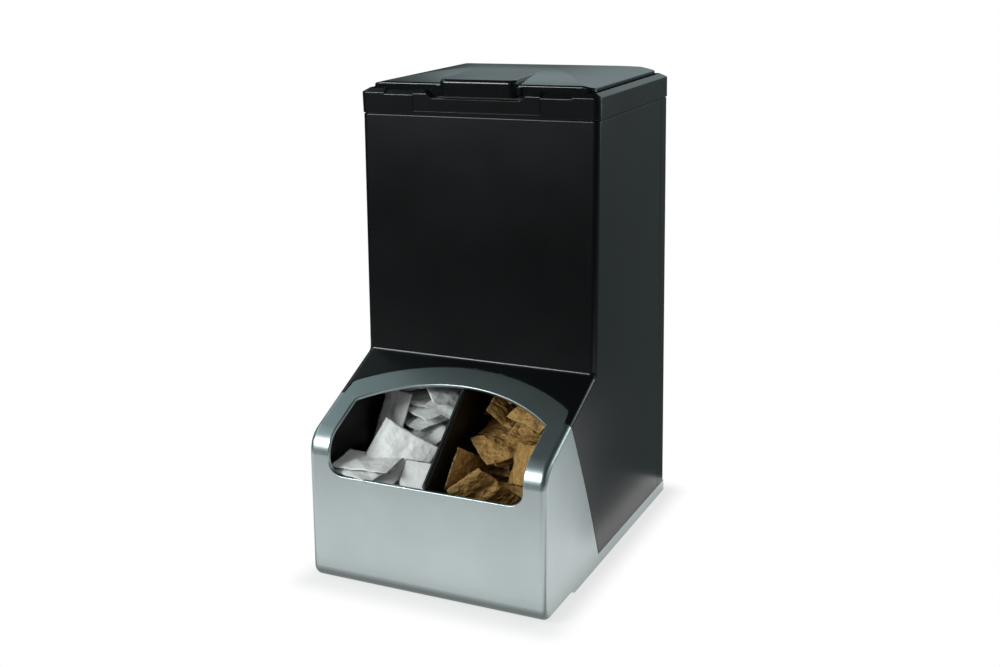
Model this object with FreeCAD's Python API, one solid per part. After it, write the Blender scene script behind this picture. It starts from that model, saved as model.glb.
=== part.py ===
import FreeCAD, Part
import math
import os

# Two-compartment packet dispenser for a coffee counter, in millimetres.
# +Z is up, the front with the window looks along -Y, and +X is to the right of someone who faces the
# window. The origin is under the middle of the footprint, on the surface that the feet rest on.

# Overall sizes
body_width = 240.0
overall_depth = 320.0
column_depth = 185.0
body_top = 424.0
crease_height = 195.0
knee_height = 143.0
front_lean = 3.2

# Moulded walls and the radii of their outer edges
wall = 3.0
edge_radius = 5.5
rear_edge_radius = 4.0
crease_radius = 4.0
knee_radius = 27.0
toe_radius = 13.0
top_edge_round = 1.2
seam = 0.8
seat_gap = 0.3

# Silver fascia, its cheeks and the strips along the bottom
base_height = 2.0
toe_lift = 0.6
toe_step_back = 67.0
trim_height = 11.5
cheek_foot_back = 127.4
cheek_top_slope = 61.0
cheek_bulge = 2.5
arch_rise = 114.0
arch_radius = 190.0
arch_side_inset = 6.2
arch_top_inset = 8.5
arch_corner_run = 12.0
arch_corner_radius = 6.0
return_lip = 27.0
arm_lip = 5.0
lap = 8.0
lap_root = 4.0
lap_thickness = 2.2

# Window
window_margin = 22.0
window_bottom = 109.0
window_arch_rise = 90.0
window_arch_radius = 157.0
window_corner = 14.0
window_shoulder = 5.0
window_edge_round = 1.1

# Rear cover
rear_flange = 19.0
boss_radius = 4.5
boss_inset = 9.5
rear_boss_length = 31.0
rear_screw_low = 46.0
rear_screw_above_ramp = 32.0
rear_screw_drop = 32.0

# Collar round the fill opening
collar_overhang = 0.6
collar_shoulder = 20.0
collar_top_rise = 3.5
collar_wall = 6.1
collar_edge_round = 1.4
collar_skirt = 14.0
skirt_thickness = 2.5
ledge_below_shoulder = 8.0
ledge_thickness = 2.5
ledge_side = 13.0
ledge_front = 15.0
ledge_rear = 20.0
collar_dip = 1.3
collar_dip_inset = 25.6
plate_half = 64.0
plate_bottom = 3.7
plate_seam = 0.4
notch_floor_half = 44.5
notch_top_half = 50.5
notch_floor_drop = 4.6
backing_wall = 2.4
collar_groove_depth = 1.2
collar_screw_front = 55.0
collar_screw_rear = 55.0
plate_screw_x = 55.0
plate_screw_up = 2.4
plate_screw_scale = 0.7

# Lid, its raised spine and the pull tab
lid_gap = 2.5
lid_crest_rise = 36.0
lid_crest_back = 93.0
lid_crown_radius = 520.0
lid_shoulder_radius = 300.0
lid_wall = 2.5
lid_corner = 7.0
lid_edge_round = 2.0
lid_barrel_gap = 1.5
spine_half = 39.0
spine_front_rise = 33.0
spine_run = 58.0
tab_reach = 6.0
tab_bottom_rise = 17.7
tab_end_round = 7.0
tab_top_round = 3.5
tab_step = 4.5
tab_step_reach = 1.8
tab_step_drop = 2.0
bumper_radius = 4.0
bumper_height = 2.5
bumper_inset = 6.0
bumper_front = 7.0
bumper_rear = 12.0

# Hinge
hinge_setback = 6.0
hinge_rise = 21.0
hinge_x = 70.0
barrel_radius = 5.5
pin_radius = 2.5
pin_fixed_gap = 0.02
pin_running_gap = 0.06
knuckle_length = 27.0
ear_thickness = 6.0
ear_side_gap = 0.5
barrel_clearance = 1.0
rear_cutaway_inset = 16.6
opening_limit = 105.0
stop_heel = 4.0
stop_gap = 0.15

# Hopper ramp, trough and divider
trough_gap = 0.5
trough_side_gap = 6.0
trough_wall = 2.2
trough_corner = 12.0
trough_floor = 48.0
trough_lip_drop = 1.5
trough_back = 122.0
trough_top_back = 14.0
ramp_thickness = 2.2
ramp_foot_back = 100.0
ramp_toe = 14.0
ramp_top = 226.0
ramp_lip = 17.0
ramp_side_gap = 0.5
bracket_thickness = 2.5
bracket_flange = 13.0
bracket_leg = 15.0
divider_thickness = 2.5
divider_bead = 2.75
bead_clearance = 0.4
divider_top_drop = 2.0
guide_base = 2.0
guide_leg = 1.8
guide_depth = 8.0
guide_slot_gap = 0.3
guide_top_drop = 18.0

# Base pan, feet and screws
pan_thickness = 2.5
pan_flange_height = 12.0
pan_gap = 0.1
post_radius = 5.0
post_inset = 35.0
post_front_back = 35.0
post_foot_height = 8.0
base_boss_inset = 11.5
base_boss_front = 152.0
base_boss_rear = 42.0
base_boss_top = 45.0
toe_screw_x = 70.0
toe_screw_back = 21.5
foot_radius = 9.0
foot_inset = 22.0
foot_front = 38.0
foot_rear = 22.0
foot_recess = 4.6
foot_recess_depth = 2.6
screw_shank = 1.75
screw_hole = 1.85
screw_head = 3.6
screw_head_height = 1.5
screw_drive = 1.2
screw_clearance_hole = 2.1

# Places worked out from the sizes above
half_width = body_width / 2
front_y = -overall_depth / 2
rear_y = overall_depth / 2
lean = math.tan(math.radians(front_lean))
toe_z = base_height + toe_lift
trim_top = base_height + trim_height
column_front_y = rear_y - column_depth
crease = (column_front_y - lean * (body_top - crease_height), crease_height)
knee = (front_y + lean * (knee_height - base_height), knee_height)
slope_angle = math.atan2(crease[1] - knee[1], crease[0] - knee[0])
slope_along = (math.cos(slope_angle), math.sin(slope_angle))
slope_out = (-math.sin(slope_angle), math.cos(slope_angle))
seam_y = rear_y - rear_flange
inner_half = half_width - wall
shoulder_z = body_top + collar_shoulder
collar_top_z = shoulder_z + collar_top_rise
collar_half = half_width + collar_overhang
collar_front_y = column_front_y - collar_overhang
collar_rear_y = rear_y + collar_overhang
ledge_top = shoulder_z - ledge_below_shoulder
lid_bottom = ledge_top + bumper_height
lid_half = collar_half - collar_wall - lid_gap
lid_front_y = collar_front_y + collar_wall + lid_gap
hinge_y = rear_y - hinge_setback
lid_rear_y = hinge_y - barrel_radius - lid_barrel_gap
lid_crest_y = column_front_y + lid_crest_back
lid_crest_z = body_top + lid_crest_rise
hinge_z = body_top + hinge_rise
rear_edge_z = hinge_z - barrel_radius - barrel_clearance
pan_bottom = toe_z + wall
pan_top = pan_bottom + pan_thickness
arch_side_low = half_width - arch_side_inset
arch_side_high = half_width - arch_top_inset
window_half = half_width - window_margin
trough_half = half_width - trough_side_gap
collar_dip_half = collar_half - collar_dip_inset
rear_cutaway_half = collar_half - rear_cutaway_inset
rear_screw_heights = (rear_screw_low, ramp_top + ramp_lip + rear_screw_above_ramp, body_top - rear_screw_drop)
collar_screw_ys = (column_front_y + collar_screw_front, rear_y - collar_screw_rear)
divider_top = body_top - divider_top_drop
guide_top = body_top - guide_top_drop
post_x = half_width - post_inset
base_boss_x = half_width - base_boss_inset
base_boss_ys = (front_y + base_boss_front, rear_y - base_boss_rear)
foot_x = half_width - foot_inset
foot_ys = (front_y + foot_front, rear_y - foot_rear)


def vector(x, y, z):
    return FreeCAD.Vector(x, y, z)


def in_yz(x):
    """Places outline points (y, z) on the plane at x."""
    return lambda p: vector(x, p[0], p[1])


def in_xz(y):
    """Places outline points (x, z) on the plane at y."""
    return lambda p: vector(p[0], y, p[1])


def in_xy(z):
    """Places outline points (x, y) on the plane at z."""
    return lambda p: vector(p[0], p[1], z)


def on_slope(depth):
    """Places outline points (x, distance up from the knee) at a depth under the sloping face."""
    def place(p):
        y = knee[0] + p[1] * slope_along[0] - depth * slope_out[0]
        z = knee[1] + p[1] * slope_along[1] - depth * slope_out[1]
        return vector(p[0], y, z)
    return place


def unit(a, b):
    length = math.hypot(b[0] - a[0], b[1] - a[1])
    return ((b[0] - a[0]) / length, (b[1] - a[1]) / length)


def corner_arc(before, corner, after, radius):
    """Start, middle and end of the arc that rounds one corner of an outline."""
    back = unit(corner, before)
    on = unit(corner, after)
    half_turn = math.acos(max(-1.0, min(1.0, back[0] * on[0] + back[1] * on[1]))) / 2
    reach = radius / math.tan(half_turn)
    start = (corner[0] + back[0] * reach, corner[1] + back[1] * reach)
    end = (corner[0] + on[0] * reach, corner[1] + on[1] * reach)
    inward = unit((0.0, 0.0), (back[0] + on[0], back[1] + on[1]))
    bite = radius / math.sin(half_turn) - radius
    return start, (corner[0] + inward[0] * bite, corner[1] + inward[1] * bite), end


def outline(points, place, radii=None):
    """A closed face from corner points, each rounded by its radius. A point given as a pair of
    points is an arc: its middle and its end."""
    radii = radii or {}
    count = len(points)
    stops = []
    for i, corner in enumerate(points):
        radius = radii.get(i, 0.0)
        if radius > 0:
            stops.append(corner_arc(points[i - 1], corner, points[(i + 1) % count], radius))
        else:
            stops.append((corner, None, corner))
    edges = []
    for i, (start, middle, end) in enumerate(stops):
        if middle:
            edges.append(Part.Arc(place(start), place(middle), place(end)).toShape())
        following = stops[(i + 1) % count][0]
        if math.hypot(following[0] - end[0], following[1] - end[1]) > 1e-6:
            edges.append(Part.LineSegment(place(end), place(following)).toShape())
    return Part.Face(Part.Wire(edges))


def prism_x(points, x_low, x_high, radii=None):
    return outline(points, in_yz(x_low), radii).extrude(vector(x_high - x_low, 0, 0))


def prism_y(points, y_low, y_high, radii=None):
    return outline(points, in_xz(y_low), radii).extrude(vector(0, y_high - y_low, 0))


def prism_z(points, z_low, z_high, radii=None):
    return outline(points, in_xy(z_low), radii).extrude(vector(0, 0, z_high - z_low))


def box(x_low, x_high, y_low, y_high, z_low, z_high):
    size = (x_high - x_low, y_high - y_low, z_high - z_low)
    return Part.makeBox(size[0], size[1], size[2], vector(x_low, y_low, z_low))


def cylinder(radius, start, along, length):
    return Part.makeCylinder(radius, length, start, along)


def rectangle(x_half, y_low, y_high):
    return [(-x_half, y_low), (x_half, y_low), (x_half, y_high), (-x_half, y_high)]


def both_sides(shape):
    """A shape and its mirror image in the middle plane, as separate solids."""
    return [shape, shape.mirror(vector(0, 0, 0), vector(1, 0, 0))]


def fuse(shapes):
    joined = shapes[0]
    for shape in shapes[1:]:
        joined = joined.fuse(shape)
    return joined.removeSplitter()


def cut(shape, tools):
    for tool in tools:
        shape = shape.cut(tool)
    return shape


def inset(points, distance):
    """The outline with every side moved inwards by the distance."""
    count = len(points)
    area = sum(points[i - 1][0] * points[i][1] - points[i][0] * points[i - 1][1] for i in range(count))
    turn = 1.0 if area > 0 else -1.0
    moved = []
    for i in range(count):
        along = unit(points[i], points[(i + 1) % count])
        shift = (-along[1] * turn * distance, along[0] * turn * distance)
        moved.append(((points[i][0] + shift[0], points[i][1] + shift[1]), along))
    corners = []
    for i in range(count):
        (p, d), (q, e) = moved[i - 1], moved[i]
        cross = d[0] * e[1] - d[1] * e[0]
        t = ((q[0] - p[0]) * e[1] - (q[1] - p[1]) * e[0]) / cross
        corners.append((p[0] + t * d[0], p[1] + t * d[1]))
    return corners


def slope_point(along, depth=0.0):
    point = on_slope(depth)((0.0, along))
    return (point.y, point.z)


def front_face(z, depth=0.0):
    """How far back the front face lies at a height, or a face at a depth behind it."""
    return front_y + lean * (z - base_height) + depth * math.sqrt(1 + lean ** 2)


def column_face(z, depth=0.0):
    """The same for the front of the column above the crease."""
    return column_front_y - lean * (body_top - z) + depth * math.sqrt(1 + lean ** 2)


def slope_height(y, depth):
    """Height of a face at a depth under the slope."""
    along = (y - knee[0] + depth * slope_out[0]) / slope_along[0]
    return slope_point(along, depth)[1]


def inner_knee(front_depth, slope_depth):
    """Where a face behind the front meets a face under the slope."""
    reach = front_depth * math.sqrt(1 + lean ** 2) + slope_depth * (slope_out[0] - lean * slope_out[1])
    return slope_point(reach / (slope_along[0] - lean * slope_along[1]), slope_depth)


# Side view of the whole body: toe, knee, crease, top of the front, back, and the step at the foot
def body_corners():
    return [
        (front_y + lean * (toe_z - base_height), toe_z),
        (front_y + toe_step_back, toe_z),
        (front_y + toe_step_back + 2 * toe_lift, base_height),
        (rear_y, base_height),
        (rear_y, body_top),
        (column_front_y, body_top),
        crease,
        knee,
    ]


def body_envelope(depth, top_extra=0.0, back_extra=0.0):
    """The solid outer form of the body, or the same form set inwards by a depth."""
    corners = inset(body_corners(), depth)
    back = corners[3][0] + back_extra
    corners[3] = (back, corners[3][1])
    top_front = corners[5]
    corners[4] = (back, top_front[1] + top_extra)
    corners[5] = (top_front[0] + lean * top_extra, top_front[1] + top_extra)
    half = half_width - depth
    bends = {0: toe_radius - depth, 6: crease_radius + depth, 7: knee_radius - depth}
    block = prism_x(corners, -half, half, bends)
    rounded = []
    for edge in block.Edges:
        bounds = edge.BoundBox
        on_side = abs(abs(bounds.XMin) - half) < 1e-4 and bounds.XLength < 1e-4
        front = bounds.YMax < corners[5][0] + 0.5 and bounds.ZMax > toe_z + depth + 1.0
        if on_side and front:
            rounded.append(edge)
    return block.makeFillet(edge_radius - min(depth, edge_radius - 2.0), rounded)


def rounded_top(block):
    """The body's form with the upper outer edges rounded."""
    rim = [edge for edge in block.Edges
           if edge.BoundBox.ZMin > body_top - 0.01 and edge.BoundBox.YMin < rear_y - 0.01]
    return block.makeFillet(top_edge_round, rim)


def cheek_curve(shift):
    """Top, middle and foot of the line where the silver cheek meets the black side."""
    top = slope_point(cheek_top_slope + shift)
    foot = (front_y + cheek_foot_back + shift, trim_top + shift)
    across = unit(foot, top)
    middle = ((top[0] + foot[0]) / 2 + cheek_bulge * across[1],
              (top[1] + foot[1]) / 2 - cheek_bulge * across[0])
    return top, middle, foot


def cheek_zone(shift, x_low, x_high):
    """Everything in front of the cheek line and below the top of the bottom strips."""
    top, middle, foot = cheek_curve(shift)
    reach = 40.0
    high = (top[0] + slope_out[0] * reach, top[1] + slope_out[1] * reach)
    place = in_yz(x_low)
    corners = [high, (front_y - reach, high[1]), (front_y - reach, -reach),
               (rear_y + reach, -reach), (rear_y + reach, foot[1]), foot]
    edges = [Part.LineSegment(place(a), place(b)).toShape() for a, b in zip(corners, corners[1:])]
    edges.append(Part.Arc(place(foot), place(middle), place(top)).toShape())
    edges.append(Part.LineSegment(place(top), place(high)).toShape())
    return Part.Face(Part.Wire(edges)).extrude(vector(x_high - x_low, 0, 0))


def arch_prism(shift, depth, height):
    """The arched top of the fascia, cut square to the sloping face. A shift makes it larger."""
    side_low = arch_side_low + shift
    side_high = arch_side_high + shift
    rise = arch_rise + shift
    radius = arch_radius + shift
    drop = radius - math.sqrt(radius ** 2 - side_high ** 2)
    shoulder = rise - drop
    low = cheek_top_slope - lap_root
    place = on_slope(depth)
    start, middle, end = corner_arc((side_low, low), (side_high, shoulder),
                                    (side_high - arch_corner_run, rise - radius
                                     + math.sqrt(radius ** 2 - (side_high - arch_corner_run) ** 2)),
                                    arch_corner_radius)
    end = (end[0], rise - radius + math.sqrt(radius ** 2 - end[0] ** 2))
    left = [(-p[0], p[1]) for p in (start, middle, end)]
    edges = [
        Part.LineSegment(place((-side_low, low)), place((side_low, low))).toShape(),
        Part.LineSegment(place((side_low, low)), place(start)).toShape(),
        Part.Arc(place(start), place(middle), place(end)).toShape(),
        Part.Arc(place(end), place((0.0, rise)), place(left[2])).toShape(),
        Part.Arc(place(left[2]), place(left[1]), place(left[0])).toShape(),
        Part.LineSegment(place(left[0]), place((-side_low, low))).toShape(),
    ]
    out = height + depth
    return Part.Face(Part.Wire(edges)).extrude(vector(0, slope_out[0] * out, slope_out[1] * out))


def window_cutters():
    """Two prisms that share their sides: one square to the slope, one along the front."""
    below = -30.0
    shoulder = window_arch_rise - window_arch_radius + math.sqrt(
        window_arch_radius ** 2 - window_half ** 2)
    place = on_slope(wall * 3)
    edges = [
        Part.LineSegment(place((-window_half, below)), place((window_half, below))).toShape(),
        Part.LineSegment(place((window_half, below)), place((window_half, shoulder))).toShape(),
        Part.Arc(place((window_half, shoulder)), place((0.0, window_arch_rise)),
                 place((-window_half, shoulder))).toShape(),
        Part.LineSegment(place((-window_half, shoulder)), place((-window_half, below))).toShape(),
    ]
    out = wall * 6
    slope_part = Part.Face(Part.Wire(edges)).extrude(
        vector(0, slope_out[0] * out, slope_out[1] * out))
    corners = [edge for edge in slope_part.Edges
               if abs(edge.BoundBox.XLength) < 1e-4 and edge.Length < out + 0.01
               and edge.BoundBox.ZMin > place((0, shoulder)).z - 0.5]
    slope_part = slope_part.makeFillet(window_shoulder, corners)
    front = [(-window_half, window_bottom), (window_half, window_bottom),
             (window_half, knee_height), (-window_half, knee_height)]
    front_part = prism_y(front, front_y - 20, knee[0] + 30, {0: window_corner, 1: window_corner})
    limit = prism_x([(front_y - 20, window_bottom - 5), (knee[0] + 60, window_bottom - 5),
                     (knee[0] + 60, knee_height - 16), slope_point(96.0, wall * 3),
                     slope_point(96.0, -30), (front_y - 20, knee_height + 20)],
                    -half_width, half_width)
    return [slope_part.common(limit), front_part]


def make_housing():
    shell = rounded_top(body_envelope(0.0)).cut(body_envelope(wall, 20.0, 40.0))
    shell = cut(shell, [
        cheek_zone(seam, -half_width - 5, half_width + 5),
        arch_prism(seam, wall + 1, 10.0),
        box(-half_width - 5, half_width + 5, seam_y - seam, rear_y + 5, 0, body_top + 5),
    ])
    hollow = body_envelope(wall, 20.0, 40.0)
    riser = arch_prism(lap_root, wall + lap_thickness, 0.0).cut(arch_prism(seam, wall, 5.0))
    flange = arch_prism(lap_root, wall + lap_thickness, -wall)
    lip = fuse([riser, flange]).cut(arch_prism(-lap, wall * 3, 10.0)).common(body_envelope(0.6))
    lip = lip.cut(cheek_zone(seam, -half_width, half_width))
    band = cheek_zone(lap_root, inner_half - lap_thickness, inner_half)
    band = band.cut(cheek_zone(-lap, inner_half - lap_thickness, inner_half)).common(hollow)
    band = band.common(box(0, half_width, front_y, seam_y - 30, pan_top + pan_flange_height + 2,
                           slope_point(cheek_top_slope - lap)[1] - wall))
    pieces = [shell, lip] + both_sides(band)
    for z in rear_screw_heights:
        boss_x = half_width - boss_inset
        boss_y = rear_y - wall - rear_boss_length
        boss = cylinder(boss_radius, vector(boss_x, boss_y, z), vector(0, 1, 0), rear_boss_length)
        web = box(boss_x, inner_half + 0.1, boss_y, seam_y - seam, z - 2, z + 2)
        pieces += both_sides(boss.fuse(web))
    for y in base_boss_ys:
        boss = cylinder(boss_radius, vector(base_boss_x, y, pan_top), vector(0, 0, 1),
                        base_boss_top - pan_top)
        web_low = pan_top + pan_flange_height + 2
        web = box(base_boss_x, inner_half + 0.1, y - 2, y + 2, web_low, base_boss_top)
        pieces += both_sides(boss.fuse(web))
    for y in collar_screw_ys:
        boss_x = collar_screw_x()
        low = body_top - collar_skirt - 16
        boss = cylinder(boss_radius, vector(boss_x, y, low), vector(0, 0, 1),
                        ledge_top - ledge_thickness - low)
        web = box(boss_x, inner_half + 0.1, y - 2, y + 2, low, body_top - collar_skirt - 1)
        pieces += both_sides(boss.fuse(web))
    housing = fuse(pieces)
    holes = []
    for z in rear_screw_heights:
        hole = cylinder(screw_hole, vector(half_width - boss_inset, rear_y - wall - 20, z),
                        vector(0, 1, 0), 30)
        holes += both_sides(hole)
    for y in base_boss_ys:
        hole = cylinder(screw_hole, vector(base_boss_x, y, pan_bottom), vector(0, 0, 1), 20)
        holes += both_sides(hole)
    for y in collar_screw_ys:
        hole = cylinder(screw_hole, vector(collar_screw_x(), y, ledge_top - 20), vector(0, 0, 1), 30)
        holes += both_sides(hole)
    return cut(housing, holes)


def collar_screw_x():
    return collar_half - collar_wall - ledge_side / 2


def make_rear_cover():
    low = trim_top + seam
    outer = rectangle(half_width, seam_y, rear_y)
    inner = rectangle(inner_half, seam_y - 10, rear_y - wall)
    cover = prism_z(outer, low, body_top, {2: rear_edge_radius, 3: rear_edge_radius})
    rim = [edge for edge in cover.Edges
           if edge.BoundBox.ZMin > body_top - 0.01 and edge.BoundBox.YMax > seam_y + 0.01]
    cover = cover.makeFillet(top_edge_round, rim)
    inner_round = max(rear_edge_radius - wall, 0.8)
    cover = cover.cut(prism_z(inner, low - 5, body_top + 5, {2: inner_round, 3: inner_round}))
    holes = []
    for z in rear_screw_heights:
        x = half_width - boss_inset
        holes += both_sides(cylinder(screw_clearance_hole, vector(x, rear_y - 10, z),
                                     vector(0, 1, 0), 20))
        holes += both_sides(cylinder(screw_head + 0.4, vector(x, rear_y - screw_head_height, z),
                                     vector(0, 1, 0), 10))
    return cut(cover, holes)


def window_rim_edges(shape):
    """The outer edges of the window on the two flat faces. Their rounding runs on over the knee."""
    found = []
    for edge in shape.Edges:
        middle = edge.valueAt((edge.FirstParameter + edge.LastParameter) / 2)
        in_window = abs(middle.x) < window_half + 0.5 and middle.z > window_bottom - 0.5
        on_front = abs(middle.y - front_face(middle.z)) < 0.05
        on_slope = abs(middle.z - slope_height(middle.y, 0.0)) < 0.05
        if in_window and (on_front or on_slope and middle.z < slope_point(window_arch_rise + 0.5)[1]):
            found.append(edge)
    return found


def make_fascia():
    shell = body_envelope(0.0).cut(body_envelope(wall, 20.0, 40.0))
    zone = cheek_zone(0.0, -half_width - 5, half_width + 5)
    zone = zone.fuse(arch_prism(0.0, wall, 10.0))
    fascia = shell.common(zone)
    fascia = cut(fascia, [
        box(-inner_half + arm_lip, inner_half - arm_lip, front_y + return_lip, rear_y + 5, 0, pan_top),
        box(-inner_half, inner_half, rear_y - wall - 1, rear_y + 5, 0, trim_top + 5),
    ])
    fascia = cut(fascia, window_cutters())
    fascia = fascia.makeFillet(window_edge_round, window_rim_edges(fascia))
    hole = cylinder(screw_clearance_hole, vector(toe_screw_x, front_y + toe_screw_back, 0),
                    vector(0, 0, 1), pan_top + toe_radius)
    return cut(fascia, both_sides(hole))


def make_base_pan():
    inner = body_envelope(wall + pan_gap, 20.0, 40.0)
    front = front_y + toe_screw_back - 8.0
    half = inner_half - pan_gap
    room = box(-half, half, front, rear_y - wall, 0, 50).common(inner).fuse(
        box(-half, half, seam_y, rear_y, 0, 50))
    floor = box(-half, half, front, rear_y, pan_bottom, pan_top).common(room)
    flange = box(half - pan_thickness, half, front_y + 40, rear_y - wall - 2, pan_bottom,
                 pan_top + pan_flange_height).common(room)
    rear_wall = box(-half, half, rear_y - wall, rear_y, base_height + 2, trim_top)
    pieces = [floor, rear_wall] + both_sides(flange)
    posts = []
    for y in (front_y + post_front_back, trough_screw_y()):
        posts.append(cylinder(post_radius, vector(post_x, y, pan_top), vector(0, 0, 1),
                              trough_floor - pan_top))
    for y in foot_ys:
        posts.append(cylinder(post_radius, vector(foot_x, y, pan_top), vector(0, 0, 1), post_foot_height))
    posts.append(cylinder(post_radius, vector(toe_screw_x, front_y + toe_screw_back, pan_top),
                          vector(0, 0, 1), 10.0).common(inner))
    for post in posts:
        pieces += both_sides(post)
    pan = fuse(pieces)
    holes = []
    for y in (front_y + post_front_back, trough_screw_y()):
        holes += both_sides(cylinder(screw_hole, vector(post_x, y, trough_floor - 14),
                                     vector(0, 0, 1), 20))
    for y in foot_ys:
        holes += both_sides(cylinder(screw_hole, vector(foot_x, y, pan_bottom - 1),
                                     vector(0, 0, 1), 9))
    for y in base_boss_ys:
        holes += both_sides(cylinder(screw_clearance_hole, vector(base_boss_x, y, 0),
                                     vector(0, 0, 1), 20))
    holes += both_sides(cylinder(screw_hole, vector(toe_screw_x, front_y + toe_screw_back, 0),
                                 vector(0, 0, 1), pan_top + 8))
    return cut(pan, holes)


def trough_screw_y():
    return front_y + ramp_foot_back - ramp_toe / 2


def collar_section(drop):
    """Side view of the collar's front wall, lowered by a drop."""
    back = collar_front_y + collar_wall
    low = ledge_top - ledge_thickness - 2
    return [(collar_front_y, low), (back, low), (back, collar_top_z - drop),
            (collar_front_y, shoulder_z - drop)]


def make_collar():
    corner = {0: edge_radius + 0.6, 1: edge_radius + 0.6, 2: rear_edge_radius + 0.6,
              3: rear_edge_radius + 0.6}
    outer = rectangle(collar_half, collar_front_y, collar_rear_y)
    inner_x = collar_half - collar_wall
    inner = rectangle(inner_x, collar_front_y + collar_wall, collar_rear_y - collar_wall)
    small = {0: 3.0, 1: 3.0, 2: 3.0, 3: 3.0}
    ring = prism_z(outer, body_top + seam, shoulder_z, corner)
    neck = rectangle(collar_half - collar_groove_depth, collar_front_y + collar_groove_depth,
                     collar_rear_y - collar_groove_depth)
    ring = ring.fuse(prism_z(neck, body_top, body_top + seam, corner))
    cap = Part.makeLoft([outline(outer, in_xy(shoulder_z), corner).OuterWire,
                         outline(inner, in_xy(collar_top_z), small).OuterWire], True, True)
    collar = ring.fuse(cap).removeSplitter()
    edges = [edge for edge in collar.Edges if edge.BoundBox.ZLength < 1e-4
             and abs(edge.BoundBox.ZMin - shoulder_z) < 1e-4]
    collar = collar.makeFillet(collar_edge_round, edges)
    collar = collar.cut(prism_z(inner, body_top - 5, collar_top_z + 5, small))
    opening = rectangle(inner_x - ledge_side, collar_front_y + collar_wall + ledge_front,
                        collar_rear_y - collar_wall - ledge_rear)
    seat = rectangle(inner_x + 1, collar_front_y + collar_wall - 1, collar_rear_y - collar_wall + 1)
    ledge = prism_z(seat, ledge_top - ledge_thickness, ledge_top)
    ledge = ledge.cut(prism_z(opening, ledge_top - 10, ledge_top + 10, small))
    skirt_out = rectangle(inner_half - 0.1, column_front_y + wall + 0.3, rear_y - wall - 0.1)
    skirt_in = rectangle(inner_half - skirt_thickness, column_front_y + wall + skirt_thickness,
                         rear_y - wall - skirt_thickness)
    skirt = prism_z(skirt_out, body_top - collar_skirt, ledge_top, {0: 2.5, 1: 2.5, 2: 1.5, 3: 1.5})
    skirt = skirt.cut(prism_z(skirt_in, body_top - 50, ledge_top + 5))
    backing = box(-plate_half - 6, plate_half + 6, collar_front_y + collar_wall,
                  collar_front_y + collar_wall + backing_wall, body_top, ledge_top)
    collar = fuse([collar, ledge, skirt, backing])
    dip = box(-collar_dip_half, collar_dip_half, collar_front_y - 1, collar_front_y + collar_wall + 0.01,
              ledge_top, collar_top_z + 5)
    lowered = prism_x(collar_section(collar_dip), -collar_dip_half, collar_dip_half)
    round_edges = [edge for edge in lowered.Edges if edge.BoundBox.XLength > 100
                   and edge.BoundBox.YMax < collar_front_y + 0.01 and edge.BoundBox.ZMin > shoulder_z - 3]
    lowered = lowered.makeFillet(collar_edge_round, round_edges)
    collar = fuse([collar.cut(dip), lowered])
    pocket = box(-plate_half - plate_seam, plate_half + plate_seam, collar_front_y - 1,
                 collar_front_y + collar_wall, body_top + plate_bottom, collar_top_z + 5)
    rear_cut = box(-rear_cutaway_half, rear_cutaway_half, collar_rear_y - collar_wall - 0.01,
                   collar_rear_y + 1, rear_edge_z, collar_top_z + 5)
    collar = cut(collar, [pocket, rear_cut])
    ears = []
    for side in (-1, 1):
        for middle in ear_middles(side):
            x = middle - ear_thickness / 2
            ears.append(cylinder(barrel_radius, vector(x, hinge_y, hinge_z), vector(1, 0, 0),
                                 ear_thickness))
            ears.append(box(x, x + ear_thickness, hinge_y - barrel_radius, hinge_y + barrel_radius,
                            ledge_top - 1, hinge_z))
    collar = fuse([collar] + ears)
    holes = []
    for side in (-1, 1):
        middle = side * hinge_x - knuckle_length
        holes.append(cylinder(pin_radius + pin_fixed_gap, vector(middle, hinge_y, hinge_z),
                              vector(1, 0, 0), 2 * knuckle_length))
    for y in collar_screw_ys:
        holes += both_sides(cylinder(screw_clearance_hole, vector(collar_screw_x(), y, body_top),
                                     vector(0, 0, 1), 30))
    plate_hole = cylinder(screw_clearance_hole * plate_screw_scale,
                          vector(plate_screw_x, collar_front_y, plate_screw_z()), vector(0, 1, 0), 20)
    return cut(collar, holes + both_sides(plate_hole))


def ear_middles(side):
    reach = (knuckle_length + ear_thickness) / 2 + ear_side_gap
    return (side * hinge_x - reach, side * hinge_x + reach)


def plate_screw_z():
    return body_top + plate_bottom + plate_screw_up


def make_collar_plate():
    back = collar_front_y + collar_wall
    low = body_top + plate_bottom
    section = [(collar_front_y, low), (back, low), (back, collar_top_z), (collar_front_y, shoulder_z)]
    plate = prism_x(section, -plate_half, plate_half)
    edges = [edge for edge in plate.Edges if edge.BoundBox.XLength > 100
             and edge.BoundBox.YMax < collar_front_y + 0.01 and edge.BoundBox.ZMin > shoulder_z - 1]
    plate = plate.makeFillet(collar_edge_round, edges)
    floor_z = shoulder_z - notch_floor_drop
    flare = (notch_top_half - notch_floor_half) * (collar_top_z + 5 - floor_z) / notch_floor_drop
    notch = [(-notch_floor_half, floor_z), (notch_floor_half, floor_z),
             (notch_floor_half + flare, collar_top_z + 5), (-notch_floor_half - flare, collar_top_z + 5)]
    plate = plate.cut(prism_y(notch, collar_front_y - 5, back + 5, {0: 2.0, 1: 2.0}))
    hole = cylinder(screw_hole * plate_screw_scale, vector(plate_screw_x, back - 4.0, plate_screw_z()),
                    vector(0, 1, 0), 10)
    return cut(plate, both_sides(hole))


def lid_crown(y, depth=0.0):
    """Height of the lid's crown over a place from front to back."""
    radius = lid_crown_radius - depth
    return lid_crest_z - lid_crown_radius + math.sqrt(radius ** 2 - (y - lid_crest_y) ** 2)


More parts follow.
